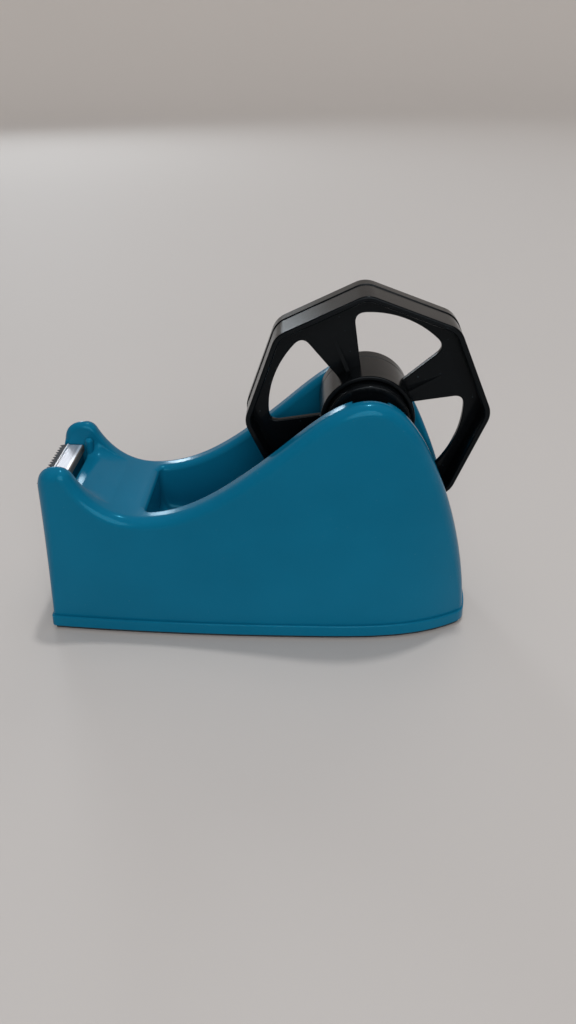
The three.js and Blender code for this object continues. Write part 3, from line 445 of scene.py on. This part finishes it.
def above_rim():
    """Everything over the rim, with the rim's rounded edges on its underside."""
    wide = FOOT_MIDDLE + OVER
    sections = []
    for row in RIM:
        x, z, nx, nz, r = (row[key] for key in ("x", "z", "nx", "nz", "round"))
        far = math.hypot(x - SKY_X, z)
        sky = (SKY_X + (x - SKY_X) / far * SKY, z / far * SKY)
        side = [(x - nx * r, wide, z - nz * r)]
        for k in range(ROUND + 1):
            turn = RIGHT * k / ROUND
            drop = r * (1 - math.sin(turn))
            px, pz = x - nx * drop, z - nz * drop
            side.append((px, side_half(px, pz) - r * (1 - math.cos(turn)) + (SLIP if k == 0 else 0.0), pz))
        edge = side_half(x, z) - r
        across = []
        for i in range(1, 16):
            share = 1 - i / 8
            out = row["bulge"] * (1 - share**2)
            across.append((x + nx * out, edge * share, z + nz * out))
        near = [(px, -y, pz) for px, y, pz in reversed(side)]
        sections.append([(sky[0], wide, sky[1])] + side + across + near + [(sky[0], -wide, sky[1])])
    return swept("above", sections)


def faded(x, fade):
    return LIP * math.sqrt(max(1 - (1 - fade) ** 2, 0.0))


def rim_trough(name, start, end, fade_in, fade_out, half_at, reach_at=faded):
    """Cut along a stretch of the rim that rounds its inner edge over, fading in and out."""
    places = [row["t"] for row in RIM if start + fade_in < row["t"] < end - fade_out]
    for k in range(ROUND + 1):
        share = math.sin(RIGHT * k / ROUND)
        places += [start + fade_in * share, end - fade_out * share]
    sections = []
    for row in map(station_at, sorted(set(places))):
        x, z, nx, nz, t = (row[key] for key in ("x", "z", "nx", "nz", "t"))
        fade = max(min((t - start) / fade_in, (end - t) / fade_out, 1.0), 0.0)
        depth = LIP * (1 - math.sqrt(1 - fade**2))
        half, reach = half_at(x), reach_at(x, fade)
        side = []
        for k in range(ROUND + 1):
            turn = RIGHT * k / ROUND
            drop = depth * (1 - math.sin(turn)) - (SLIP if k == ROUND or fade == 0 else 0.0)
            side.append((x - nx * drop, half + reach * (1 - math.cos(turn)), z - nz * drop))
        side.append((x + nx * LIP, half + reach, z + nz * LIP))
        sections.append([(px, -y, pz) for px, y, pz in reversed(side)] + side)
    return swept(name, sections)


def well_ease(x, corner):
    share = min(max((x - WELL_X) / corner, 0.0), 1.0)
    return corner * (1 - math.sqrt(1 - (1 - share) ** 2))


def well_half_at(x):
    return min(WELL_HALF, side_half(x, HUB_Z) * 0.7) - well_ease(x, WELL_PLAN_CORNER)


def well_floor_at(x):
    if x > HUB_X:
        return HUB_Z - math.sqrt(WELL_ROLL**2 - (x - HUB_X) ** 2)
    return WELL_FLOOR + WELL_RISE * ((HUB_X - x) / (HUB_X - WELL_X)) ** 2 + well_ease(x, WELL_CORNER)


def well_reach_at(x, fade):
    back = WELL_X + WELL_PLAN_CORNER - x
    if back <= 0:
        return faded(x, fade)
    arc = lambda radius: math.sqrt(max(radius**2 - back**2, 0.0))
    return arc(WELL_PLAN_CORNER + LIP) - arc(WELL_PLAN_CORNER)


def gutter(name, places, half_at, floor_at, corner, top, grow=0.0):
    """Solid over a floor with rounded lower corners, open to the top, through places along X."""
    sections = []
    for i, x in enumerate(places):
        half, floor = half_at(x) + grow, floor_at(x) - grow
        wall = [(half, top)]
        for k in range(ROUND + 1):
            turn = RIGHT * k / ROUND
            wall.append((half - corner * (1 - math.cos(turn)), floor + corner * (1 - math.sin(turn))))
        at = x - grow if i == 0 else x
        sections.append([(at, y, z) for y, z in wall] + [(at, -y, z) for y, z in reversed(wall)])
    return swept(name, sections)


def well(name, grow):
    """The roll-shaped well, or with a positive grow its wall's outside."""
    corner_end = WELL_X + WELL_CORNER
    places = [corner_end - WELL_CORNER * math.cos(RIGHT * (k / 14) ** 2) for k in range(14)]
    places += [corner_end + (REAR_X + WALL - corner_end) * i / 60 for i in range(61)]
    return gutter(name, places, well_half_at, well_floor_at, WELL_CORNER, HUMP_Z + OVER, grow)


def along_y(name, outline, half):
    return swept(name, [[(x, y, z) for x, z in outline] for y in (-half, half)])


def saddle_line():
    """Floor between the wings: the lip's rounded nose, its broad crown and the fall to the well."""
    points = [(LIP_X, LIP_Z - 2.0)]
    points += bezier([points[-1], (LIP_X, LIP_Z - 0.55), (LIP_X + 0.9, LIP_Z - 0.45)], 10)
    points += bezier([points[-1], (LIP_X + 3.3, LIP_Z - 0.22)], 3)
    points += bezier([points[-1], (LIP_X + 4.3, LIP_Z - 0.12), (LIP_X + 5.4, LIP_Z - 0.5)], 12)
    return points + bezier([points[-1], (-50.0, SADDLE_Z + 3.0), (CHANNEL_REAR_X, SADDLE_Z + 1.0)], 30)


def rim_level(x):
    for a, b in zip(RIM, RIM[1:]):
        if a["x"] <= x < b["x"]:
            return a["z"] + (b["z"] - a["z"]) * (x - a["x"]) / (b["x"] - a["x"])


def saddle():
    """Cut over the floor between the wings, with round corners at its foot and over its walls."""
    sections = []
    for x, floor in saddle_line():
        brim = max(rim_level(x), floor) + SLIP
        scale = min((brim - floor) / (CHANNEL_CORNER + LIP), 1.0)
        wall = [(CHANNEL_HALF + LIP, WING_Z + OVER)]
        for k in range(ROUND, -1, -1):
            turn = RIGHT * k / ROUND
            y = CHANNEL_HALF + LIP * (1 - math.cos(turn))
            wall.append((y, brim - LIP * scale * (1 - math.sin(turn))))
        for k in range(ROUND + 1):
            turn = RIGHT * k / ROUND
            y = CHANNEL_HALF - CHANNEL_CORNER * (1 - math.cos(turn))
            wall.append((y, floor + CHANNEL_CORNER * scale * (1 - math.sin(turn))))
        sections.append([(x, y, z) for y, z in wall] + [(x, -y, z) for y, z in reversed(wall)])
    return swept("saddle", sections)


def slots():
    """The two open slots for the axle: a round seat, straight sides and a flared mouth."""
    seat = math.acos(SLOT_HALF / AXLE_BORE)
    flare, bend, straight, top = 10.3, 8.3, 4.0, 16.3
    floor = -AXLE_BORE * math.sin(seat)
    outline = [(-SLOT_MOUTH_HALF, top), (-SLOT_MOUTH_HALF, flare)]
    outline += bezier([outline[-1], (-SLOT_HALF, bend), (-SLOT_HALF, straight)], 8)
    outline += [(-SLOT_HALF, floor)]
    for i in range(1, 14):
        a = math.pi + seat + (math.pi - 2 * seat) * i / 14
        outline.append((AXLE_BORE * math.cos(a), AXLE_BORE * math.sin(a)))
    outline += [(SLOT_HALF, floor), (SLOT_HALF, straight)]
    outline += bezier([outline[-1], (SLOT_HALF, bend), (SLOT_MOUTH_HALF, flare)], 8)
    outline += [(SLOT_MOUTH_HALF, top)]
    return along_y("slots", [(HUB_X + x, HUB_Z + z) for x, z in outline], SLOT_END)


def cavity():
    """The room inside the shell: its walls follow the flanks, the rim and the well."""
    outline = [(FRONT_X + WALL, -OVER), (FRONT_X + LEAN * 0.82 + WALL, ROOM_TOP), (ROOM_STEP_X, ROOM_TOP)]
    for row in RIM[::3]:
        if row["x"] > ROOM_STEP_X + WALL:
            outline.append((row["x"] - row["nx"] * WALL, row["z"] - row["nz"] * WALL))
    outline += [(REAR_X - WALL, -OVER)]
    room = along_y("room", outline, FOOT_MIDDLE)
    walls = swept("walls", [side_ring(WALL, -OVER), side_ring(WALL, HUMP_Z)])
    combined(room, [walls], "INTERSECT")
    low, high = HUB_X - BLOCK_HALF, HUB_X + BLOCK_HALF
    block = along_y("block", [(low, BLOCK_Z), (high, BLOCK_Z), (high, HUMP_Z), (low, HUMP_Z)], FOOT_MIDDLE)
    posts = [peg("boss", x, y, BOSS_R, -OVER, WING_Z) for x, y in BOSSES]
    return combined(room, [well("well_wall", WALL), block, *posts], "DIFFERENCE")


def flat_ring(x, y, radius, z, sides=40):
    turns = (2 * math.pi * i / sides for i in range(sides))
    return [(x + radius * math.cos(a), y + radius * math.sin(a), z) for a in turns]


def peg(name, x, y, radius, z0, z1):
    return swept(name, [flat_ring(x, y, radius, z) for z in (z0, z1)])


def stud(x, y):
    """Guide post with a domed top beside the blade's rear corner."""
    turns = [RIGHT * k / 6 for k in range(6)]
    dome = [(STUD_R * math.cos(turn), STUD_TOP - STUD_R * (1 - math.sin(turn))) for turn in turns]
    profile = [(STUD_R, PIT_Z - 0.05), *dome, (0.02, STUD_TOP)]
    return swept("stud", [flat_ring(x, y, radius, z) for radius, z in profile])


def shell():
    body = swept("body_skin", [side_ring(0, FLANGE_Z - 0.05), side_ring(0, HUMP_Z + OVER)])
    combined(body, [above_rim()], "DIFFERENCE")
    rings = [plan_ring(0, PAD), plan_ring(FLANGE_DRAFT * 0.9, FLANGE_Z - FLANGE_EASE)]
    for k in range(1, 6):
        turn = RIGHT * k / 5
        inset = FLANGE_DRAFT + FLANGE_EASE * (1 - math.cos(turn))
        rings.append(plan_ring(inset, FLANGE_Z - FLANGE_EASE * (1 - math.sin(turn))))
    flange = swept("flange", rings)
    combined(body, [flange], "UNION")
    shelf_line = [(-FOOT_END - OVER, SEAT_Z), (PIT_X, SEAT_Z), (PIT_X, PIT_Z), (LIP_X + SLIP, PIT_Z)]
    shelf_line += [(LIP_X + SLIP, WING_Z + OVER), (-FOOT_END - OVER, WING_Z + OVER)]
    plate = PLATE_INSET - GAP
    pocket = swept("pocket", [plan_ring(plate, -OVER), plan_ring(plate, PAD + PLATE + SEAM)])
    pilots = [peg("pilot", x, y, PILOT_R, -OVER, PILOT_TOP) for x, y in BOSSES]
    start = travel_where(lambda s: s["z"] - SEAT_Z)
    end = travel_where(lambda s: s["x"] - WING_TROUGH_X)
    wing_trough = rim_trough("wing_trough", start, end, LIP, WING_TROUGH_FADE, lambda x: CHANNEL_HALF)
    start = travel_where(lambda s: s["x"] - WELL_X)
    end = travel_where(lambda s: well_floor_at(s["x"]) - s["z"] if s["x"] > HUB_X else -1)
    well_trough = rim_trough("well_trough", start - LIP, end + LIP, LIP, LIP, well_half_at, well_reach_at)
    shelf = along_y("shelf", shelf_line, CHANNEL_HALF)
    tools = [cavity(), pocket, well("well", 0.0), shelf, saddle(), wing_trough, well_trough, slots(), *pilots]
    combined(body, tools, "DIFFERENCE")
    combined(body, [stud(STUD_X, hand * STUD_Y) for hand in (-1, 1)], "UNION")
    return body


# ---------------------------------------------------------------- reel
WHEEL_R, WHEEL_CORNER, WHEEL_WALL, WHEEL_ROUND = 38.08, 7.5, 2.1, 0.55
WHEEL_NEAR, WHEEL_FAR, WEB_NEAR, WEB = -7.3, 9.7, 0.2, 2.0
WHEEL_SEAM_Y, WHEEL_STEP, WHEEL_DRAFT, RIM_DRAFT = 4.6, 0.3, 0.2, 0.25
WHEEL_TURN = math.radians(19.84)
EIGHTH = math.pi / 4
WINDOW_INSET, WINDOW_CORNER, WINDOW_HALF, WINDOW_FOOT = 7.8, 3.2, math.radians(29), 9.0
WINDOW_FLARE = 0.35
SLEEVE_BORE, SLEEVE_R, SLEEVE_NEAR, SLEEVE_FAR, SLEEVE_ROUND = 12.9, 14.3, -9.3, 12.5, 0.4
SLEEVE_LINE_Y, SLEEVE_LINE_DEPTH = 7.6, 0.25
SPOKE_RIB_END, RIB_HALF = 25.5, 0.6
DRUM_R, DRUM_NEAR, DRUM_FAR, DRUM_WALL, DRUM_END = 12.6, -12.8, 12.9, 1.6, 2.0
DRUM_ROUND, DRUM_RECESS, BEARING, DRUM_RIBS = 0.5, 0.8, 1.8, 6
CAP, CAP_SEAM, SPIGOT, SPIGOT_WALL = 1.6, 0.1, 3.0, 1.4


def octagon(radius, corner, y, steps=16):
    """Ring of an octagon with rounded corners across the axle, one flat square to +Z."""
    trim = corner * math.tan(EIGHTH / 2)

    def tip(k):
        turn = EIGHTH * (k + 0.5)
        return Vector((radius * math.cos(turn), radius * math.sin(turn)))

    points = []
    for k in range(8):
        at = tip(k)
        start, end = (at + (tip(k + hand) - at).normalized() * trim for hand in (-1, 1))
        points += [tuple(start)] + bezier([tuple(start), tuple(at), tuple(end)], steps)
    return [(x, y, z) for x, z in points]


def round_ring(radius, y, sides=144):
    turns = (2 * math.pi * i / sides for i in range(sides))
    return [(radius * math.cos(a), y, radius * math.sin(a)) for a in turns]


def looped(name, rings):
    """Closed mesh through rings of points, the last one joined to the first."""
    count = len(rings[0])
    mesh = bmesh.new()
    rows = [[mesh.verts.new(p) for p in ring] for ring in rings]
    for low, high in zip(rows, rows[1:] + rows[:1]):
        for j in range(count):
            k = (j + 1) % count
            mesh.faces.new((low[j], low[k], high[k], high[j]))
    return closed(name, mesh)


def eased(near, far, inner, outer, edge, steps=5):
    """Profile of a ring wall as (y, radius) pairs with four rounded edges."""
    points = []
    for y, radius, turn in ((near, outer, 2), (far, outer, 3), (far, inner, 0), (near, inner, 1)):
        cy = y + edge if y == near else y - edge
        cr = radius - edge if radius == outer else radius + edge
        first = {2: math.pi, 3: math.pi / 2, 0: 0.0, 1: -math.pi / 2}[turn]
        for k in range(steps + 1):
            a = first - RIGHT * k / steps
            points.append((cy + edge * math.cos(a), cr + edge * math.sin(a)))
    return points


def turned(profile, turn):
    """A flat (radius, y, side) section, turned about the reel's axis."""
    c, s = math.cos(turn), math.sin(turn)
    return [(r * c - side * s, y, r * s + side * c) for r, y, side in profile]


def on_reel(piece):
    piece.data.transform(Matrix.Translation((HUB_X, 0.0, HUB_Z)))
    return piece


def window_ring(middle, y, grow):
    reach = WHEEL_R - WINDOW_INSET + grow
    step = WINDOW_CORNER / reach
    at = lambda r, a: (r * math.cos(middle + a), r * math.sin(middle + a))
    wide = lambda r: WINDOW_HALF + grow / r
    shoulder = reach - WINDOW_CORNER
    points = [at(WINDOW_FOOT, -wide(WINDOW_FOOT)), at(shoulder, -wide(shoulder))]
    points += bezier([points[-1], at(reach, -wide(reach)), at(reach, -wide(reach) + step)], 10)
    points += [at(reach, -wide(reach) + step + (wide(reach) - step) * 2 * i / 40) for i in range(1, 41)]
    points += bezier([points[-1], at(reach, wide(reach)), at(shoulder, wide(shoulder))], 10)
    points.append(at(WINDOW_FOOT, wide(WINDOW_FOOT)))
    return [(x, y, z) for x, z in points]


def wheel():
    """Rim with a mould seam, web with four flared windows, sleeve and spoke ribs."""
    slant = WHEEL_WALL / math.cos(EIGHTH / 2)
    seam, step, outer, inner = WHEEL_SEAM_Y, WHEEL_STEP, WHEEL_R, WHEEL_R - slant
    length = WHEEL_FAR - WHEEL_NEAR
    profile = []
    for y, r in eased(WHEEL_NEAR, WHEEL_FAR, inner, outer, WHEEL_ROUND):
        if r > outer - slant / 2:
            profile.append((y, r - WHEEL_DRAFT * abs(y - seam) / length - (step if y < seam else 0.0)))
        else:
            profile.append((y, r + RIM_DRAFT * (1 - (y - WHEEL_NEAR) / length) - RIM_DRAFT))
    groove = [(seam - 0.3, outer - step), (seam - 0.24, outer - 0.38), (seam - 0.1, outer - 0.38)]
    groove += [(seam - 0.04, outer - 0.08), (seam + 0.06, outer)]
    place = next(i for i, (y, r) in enumerate(profile) if y > seam and r > outer - 1)
    profile[place:place] = groove
    corner = lambda r: WHEEL_CORNER - WHEEL_WALL * (outer - r) / slant
    rim = looped("wheel_rim", [octagon(r, corner(r), y) for y, r in profile])

    web_edge = inner + 0.8
    web = swept("wheel_web", [octagon(web_edge, corner(web_edge), y) for y in (WEB_NEAR, WEB_NEAR + WEB)])
    edge = [(math.cos(a), math.sin(a)) for a in (RIGHT * k / 4 for k in range(5))]
    flare = [(WEB_NEAR + WINDOW_FLARE * (1 - c) - SLIP, WINDOW_FLARE * (1 - s)) for c, s in edge]
    flare += [(WEB_NEAR + WEB - WINDOW_FLARE * (1 - s) + SLIP, WINDOW_FLARE * (1 - c)) for c, s in edge]
    flare = [(WEB_NEAR - OVER, WINDOW_FLARE)] + flare + [(WEB_NEAR + OVER, WINDOW_FLARE)]
    windows = [swept("window", [window_ring(RIGHT * k, y, grow) for y, grow in flare]) for k in range(4)]
    bore = swept("bore", [round_ring(SLEEVE_BORE, y) for y in (-40, 40)])
    combined(web, [*windows, bore], "DIFFERENCE")

    tube = eased(SLEEVE_NEAR, SLEEVE_FAR, SLEEVE_BORE, SLEEVE_R, SLEEVE_ROUND)
    line, bottom = SLEEVE_LINE_Y, SLEEVE_R - SLEEVE_LINE_DEPTH
    place = next(i for i, (y, r) in enumerate(tube) if y > line and r > SLEEVE_R - 0.5)
    groove = [(line - 0.3, SLEEVE_R), (line - 0.2, bottom), (line + 0.1, bottom), (line + 0.2, SLEEVE_R)]
    tube[place:place] = groove
    sleeve = looped("sleeve", [round_ring(r, y) for y, r in tube])

    rib_foot, rib_top = SLEEVE_R - 0.3, SLEEVE_R + 1.6
    rib = [(rib_foot, WEB_NEAR - 2.2), (rib_top, WEB_NEAR - 1.9), (SPOKE_RIB_END, WEB_NEAR + 0.02)]
    rib += [(SPOKE_RIB_END, WEB_NEAR + 0.5), (rib_foot, WEB_NEAR + 0.5)]
    ribs = []
    for k in range(4):
        faces = [[(r, y, side) for r, y in rib] for side in (-RIB_HALF, RIB_HALF)]
        ribs.append(swept("rib", [turned(section, RIGHT * (k + 0.5)) for section in faces]))
    combined(rim, [web, sleeve, *ribs], "UNION")
    rim.data.transform(Matrix.Rotation(WHEEL_TURN, 4, "Y"))
    return on_reel(rim)


def drum():
    """Tube with a recessed near end, a bearing for the axle and ribs between the two."""
    near, end = DRUM_NEAR, DRUM_FAR - CAP - CAP_SEAM
    inner, bearing = DRUM_R - DRUM_WALL, AXLE_BORE + BEARING
    floor = near + DRUM_RECESS + DRUM_END
    profile = [(near, DRUM_R - DRUM_ROUND)]
    for a in (RIGHT * i / 4 for i in range(1, 4)):
        profile.append((near + DRUM_ROUND * (1 - math.cos(a)), DRUM_R - DRUM_ROUND * (1 - math.sin(a))))
    profile += [(near + DRUM_ROUND, DRUM_R), (end - 0.1, DRUM_R), (end, DRUM_R - 0.1)]
    profile += [(end, inner), (floor, inner), (floor, bearing), (end - 0.3, bearing), (end - 0.3, AXLE_BORE)]
    profile += [(near + DRUM_RECESS, AXLE_BORE), (near + DRUM_RECESS, inner), (near, inner)]
    tube = looped("tube", [round_ring(r, y) for y, r in profile])
    foot, top = bearing - 0.1, inner + 0.1
    corners = [(foot, -RIB_HALF), (top, -RIB_HALF), (top, RIB_HALF), (foot, RIB_HALF)]
    ribs = []
    for k in range(DRUM_RIBS):
        turn = math.pi * 2 * k / DRUM_RIBS
        ends = [[(r, y, side) for r, side in corners] for y in (floor - 0.2, end - SPIGOT - 0.3)]
        ribs.append(swept("drum_rib", [turned(section, turn) for section in ends]))
    combined(tube, ribs, "UNION")
    return on_reel(tube)


def cap():
    """Lid of the drum's far end, with a spigot inside the tube and a round outer edge."""
    seat, far, spigot = DRUM_FAR - CAP, DRUM_FAR, DRUM_R - DRUM_WALL - GAP
    profile = [(seat, AXLE_BORE), (seat, spigot - SPIGOT_WALL), (seat - SPIGOT, spigot - SPIGOT_WALL)]
    profile += [(seat - SPIGOT, spigot), (seat, spigot), (seat, DRUM_R), (far - DRUM_ROUND, DRUM_R)]
    for a in (RIGHT * i / 4 for i in range(1, 5)):
        profile.append((far - DRUM_ROUND * (1 - math.sin(a)), DRUM_R - DRUM_ROUND * (1 - math.cos(a))))
    profile.append((far, AXLE_BORE))
    return on_reel(looped("lid", [round_ring(r, y) for y, r in profile]))


# ---------------------------------------------------------------- pieces in place of their CAD nodes
SMOOTH_BELOW = math.radians(28.0)


def dressed(piece, name, node, body, material):
    """Names a piece, brings it to metres, smooths it and puts it in the place of its CAD node."""
    piece.name = name
    for vertex in piece.data.vertices:
        vertex.co *= MM
    piece.data.materials.clear()
    piece.data.materials.append(material)
    for polygon in piece.data.polygons:
        polygon.use_smooth = True
    bpy.ops.object.select_all(action="DESELECT")
    piece.select_set(True)
    bpy.context.view_layer.objects.active = piece
    bpy.ops.object.shade_smooth_by_angle(angle=SMOOTH_BELOW)
    weighted = piece.modifiers.new("weighted", "WEIGHTED_NORMAL")
    weighted.keep_sharp = True
    weighted.weight = 50
    baked(piece)
    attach(piece, body)
    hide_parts(node)


dressed(shell(), "shell_skin", "body_shell", "base", TEAL)
dressed(wheel(), "wheel_skin", "core_wheel", "reel", BLACK)
dressed(drum(), "drum_skin", "core_drum", "reel", BLACK)
dressed(cap(), "cap_skin", "drum_cap", "reel", BLACK)

# ---------------------------------------------------------------- stage
FLOOR_REACH, WALL_REACH, WALL_TOP = 2.2, 3.0, 3.0
COVE_SIDES, COVE_STEPS = 64, 12


def pale_ground():
    """Pale floor and wall, evenly pale far off to the camera and in the gloss behind the dispenser."""
    s = Shader("floor_pale").set(Base_Color=srgb(193, 188, 184), Roughness=0.7, Specular_IOR_Level=0.2)
    s.set(Emission_Color=srgb(152, 145, 138))
    spot = s.node("SeparateXYZ", {"Vector": s.place}).outputs
    reach = s.node("VectorMath", {0: s.place}, operation="LENGTH").outputs["Value"]
    ray = s.node("LightPath").outputs
    behind = s.maths("MULTIPLY", ray["Is Glossy Ray"], s.ramp(spot["Y"], 0.2, 1.2))
    seen = s.maths("ADD", behind, ray["Is Camera Ray"])
    s.link(s.maths("MULTIPLY", seen, s.ramp(reach, 0.3, 3.2, 0.0, 0.8)), "Emission Strength")
    return s.material


def cove():
    """Pale floor that turns up into a wall far behind the dispenser, all around."""
    mesh = bmesh.new()
    bend = WALL_REACH - FLOOR_REACH
    profile = [(0.5, 0.0), (1.2, 0.0), (FLOOR_REACH, 0.0)]
    for i in range(1, COVE_STEPS + 1):
        a = RIGHT * i / COVE_STEPS
        profile.append((FLOOR_REACH + bend * math.sin(a), bend * (1 - math.cos(a))))
    profile.append((WALL_REACH, WALL_TOP))
    rows = [[mesh.verts.new(p) for p in flat_ring(0.0, 0.0, reach, z, COVE_SIDES)] for reach, z in profile]
    mesh.faces.new(rows[0])
    for low, high in zip(rows, rows[1:]):
        for j in range(COVE_SIDES):
            k = (j + 1) % COVE_SIDES
            mesh.faces.new((low[j], low[k], high[k], high[j]))
    bmesh.ops.recalc_face_normals(mesh, faces=mesh.faces)
    data = bpy.data.meshes.new("floor")
    mesh.to_mesh(data)
    mesh.free()
    for polygon in data.polygons:
        polygon.use_smooth = len(polygon.vertices) == 4
    floor = bpy.data.objects.new("floor", data)
    bpy.context.scene.collection.objects.link(floor)
    data.materials.append(pale_ground())
    floor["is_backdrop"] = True


cove()
world = bpy.data.worlds.new("studio")
bpy.context.scene.world = world
world.use_nodes = True
sky = world.node_tree.nodes["Background"].inputs
sky["Color"].default_value = (0.9, 0.93, 1.0, 1.0)
sky["Strength"].default_value = 0.4

DISPENSER_MIDDLE = Vector((0.0, 0.0, 0.05))
DAYLIGHT = (0.84, 0.93, 1.0)


def soft_light(name, place, size, power, colour=(1.0, 1.0, 1.0), shines=True):
    """A round lamp aimed at the dispenser, with or without a reflection of its own in gloss."""
    data = bpy.data.lights.new(name, "AREA")
    data.shape = "DISK"
    data.energy = power
    data.color = colour
    data.size = size
    light = bpy.data.objects.new(name, data)
    bpy.context.scene.collection.objects.link(light)
    light.location = place
    aim = DISPENSER_MIDDLE - Vector(place)
    light.rotation_euler = aim.to_track_quat("-Z", "Y").to_euler()
    light.visible_camera = False
    light.visible_glossy = shines


soft_light("window_light", (-0.58, 1.53, 0.61), 0.28, 2.0, DAYLIGHT)
soft_light("window_top", (-0.7, 1.4, 0.78), 0.34, 2.4, DAYLIGHT)
soft_light("rear_fill", (0.5, 1.5, 1.2), 1.2, 3.0, shines=False)
soft_light("overhead_fill", (0.0, 0.0, 1.9), 1.6, 6.0, shines=False)
soft_light("ceiling_light", (0.12, 0.2, 1.4), 0.08, 5.0)
soft_light("front_fill", (0.2, -1.5, 0.8), 1.3, 15.0)

# ---------------------------------------------------------------- camera
# Where the photograph was taken from: fitted to the dispenser's outline in it
EYE = Vector((0.0146, -0.22185, 0.17117))
YAW = -0.0262
PITCH = 0.55
camera_data = bpy.data.cameras.new("camera")
camera_data.sensor_width = 36.0
camera_data.lens = 27.04
camera_data.clip_start = 0.01
camera = bpy.data.objects.new("camera", camera_data)
bpy.context.scene.collection.objects.link(camera)
ahead = Vector((math.sin(YAW) * math.cos(PITCH), math.cos(YAW) * math.cos(PITCH), -math.sin(PITCH)))
camera.location = EYE
camera.rotation_euler = ahead.to_track_quat("-Z", "Y").to_euler()
bpy.context.scene.camera = camera
bpy.context.scene.view_settings.view_transform = "Standard"

boxes = (CAD_BOX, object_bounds())
[[list(map(float, corner)) for corner in box] for box in boxes]
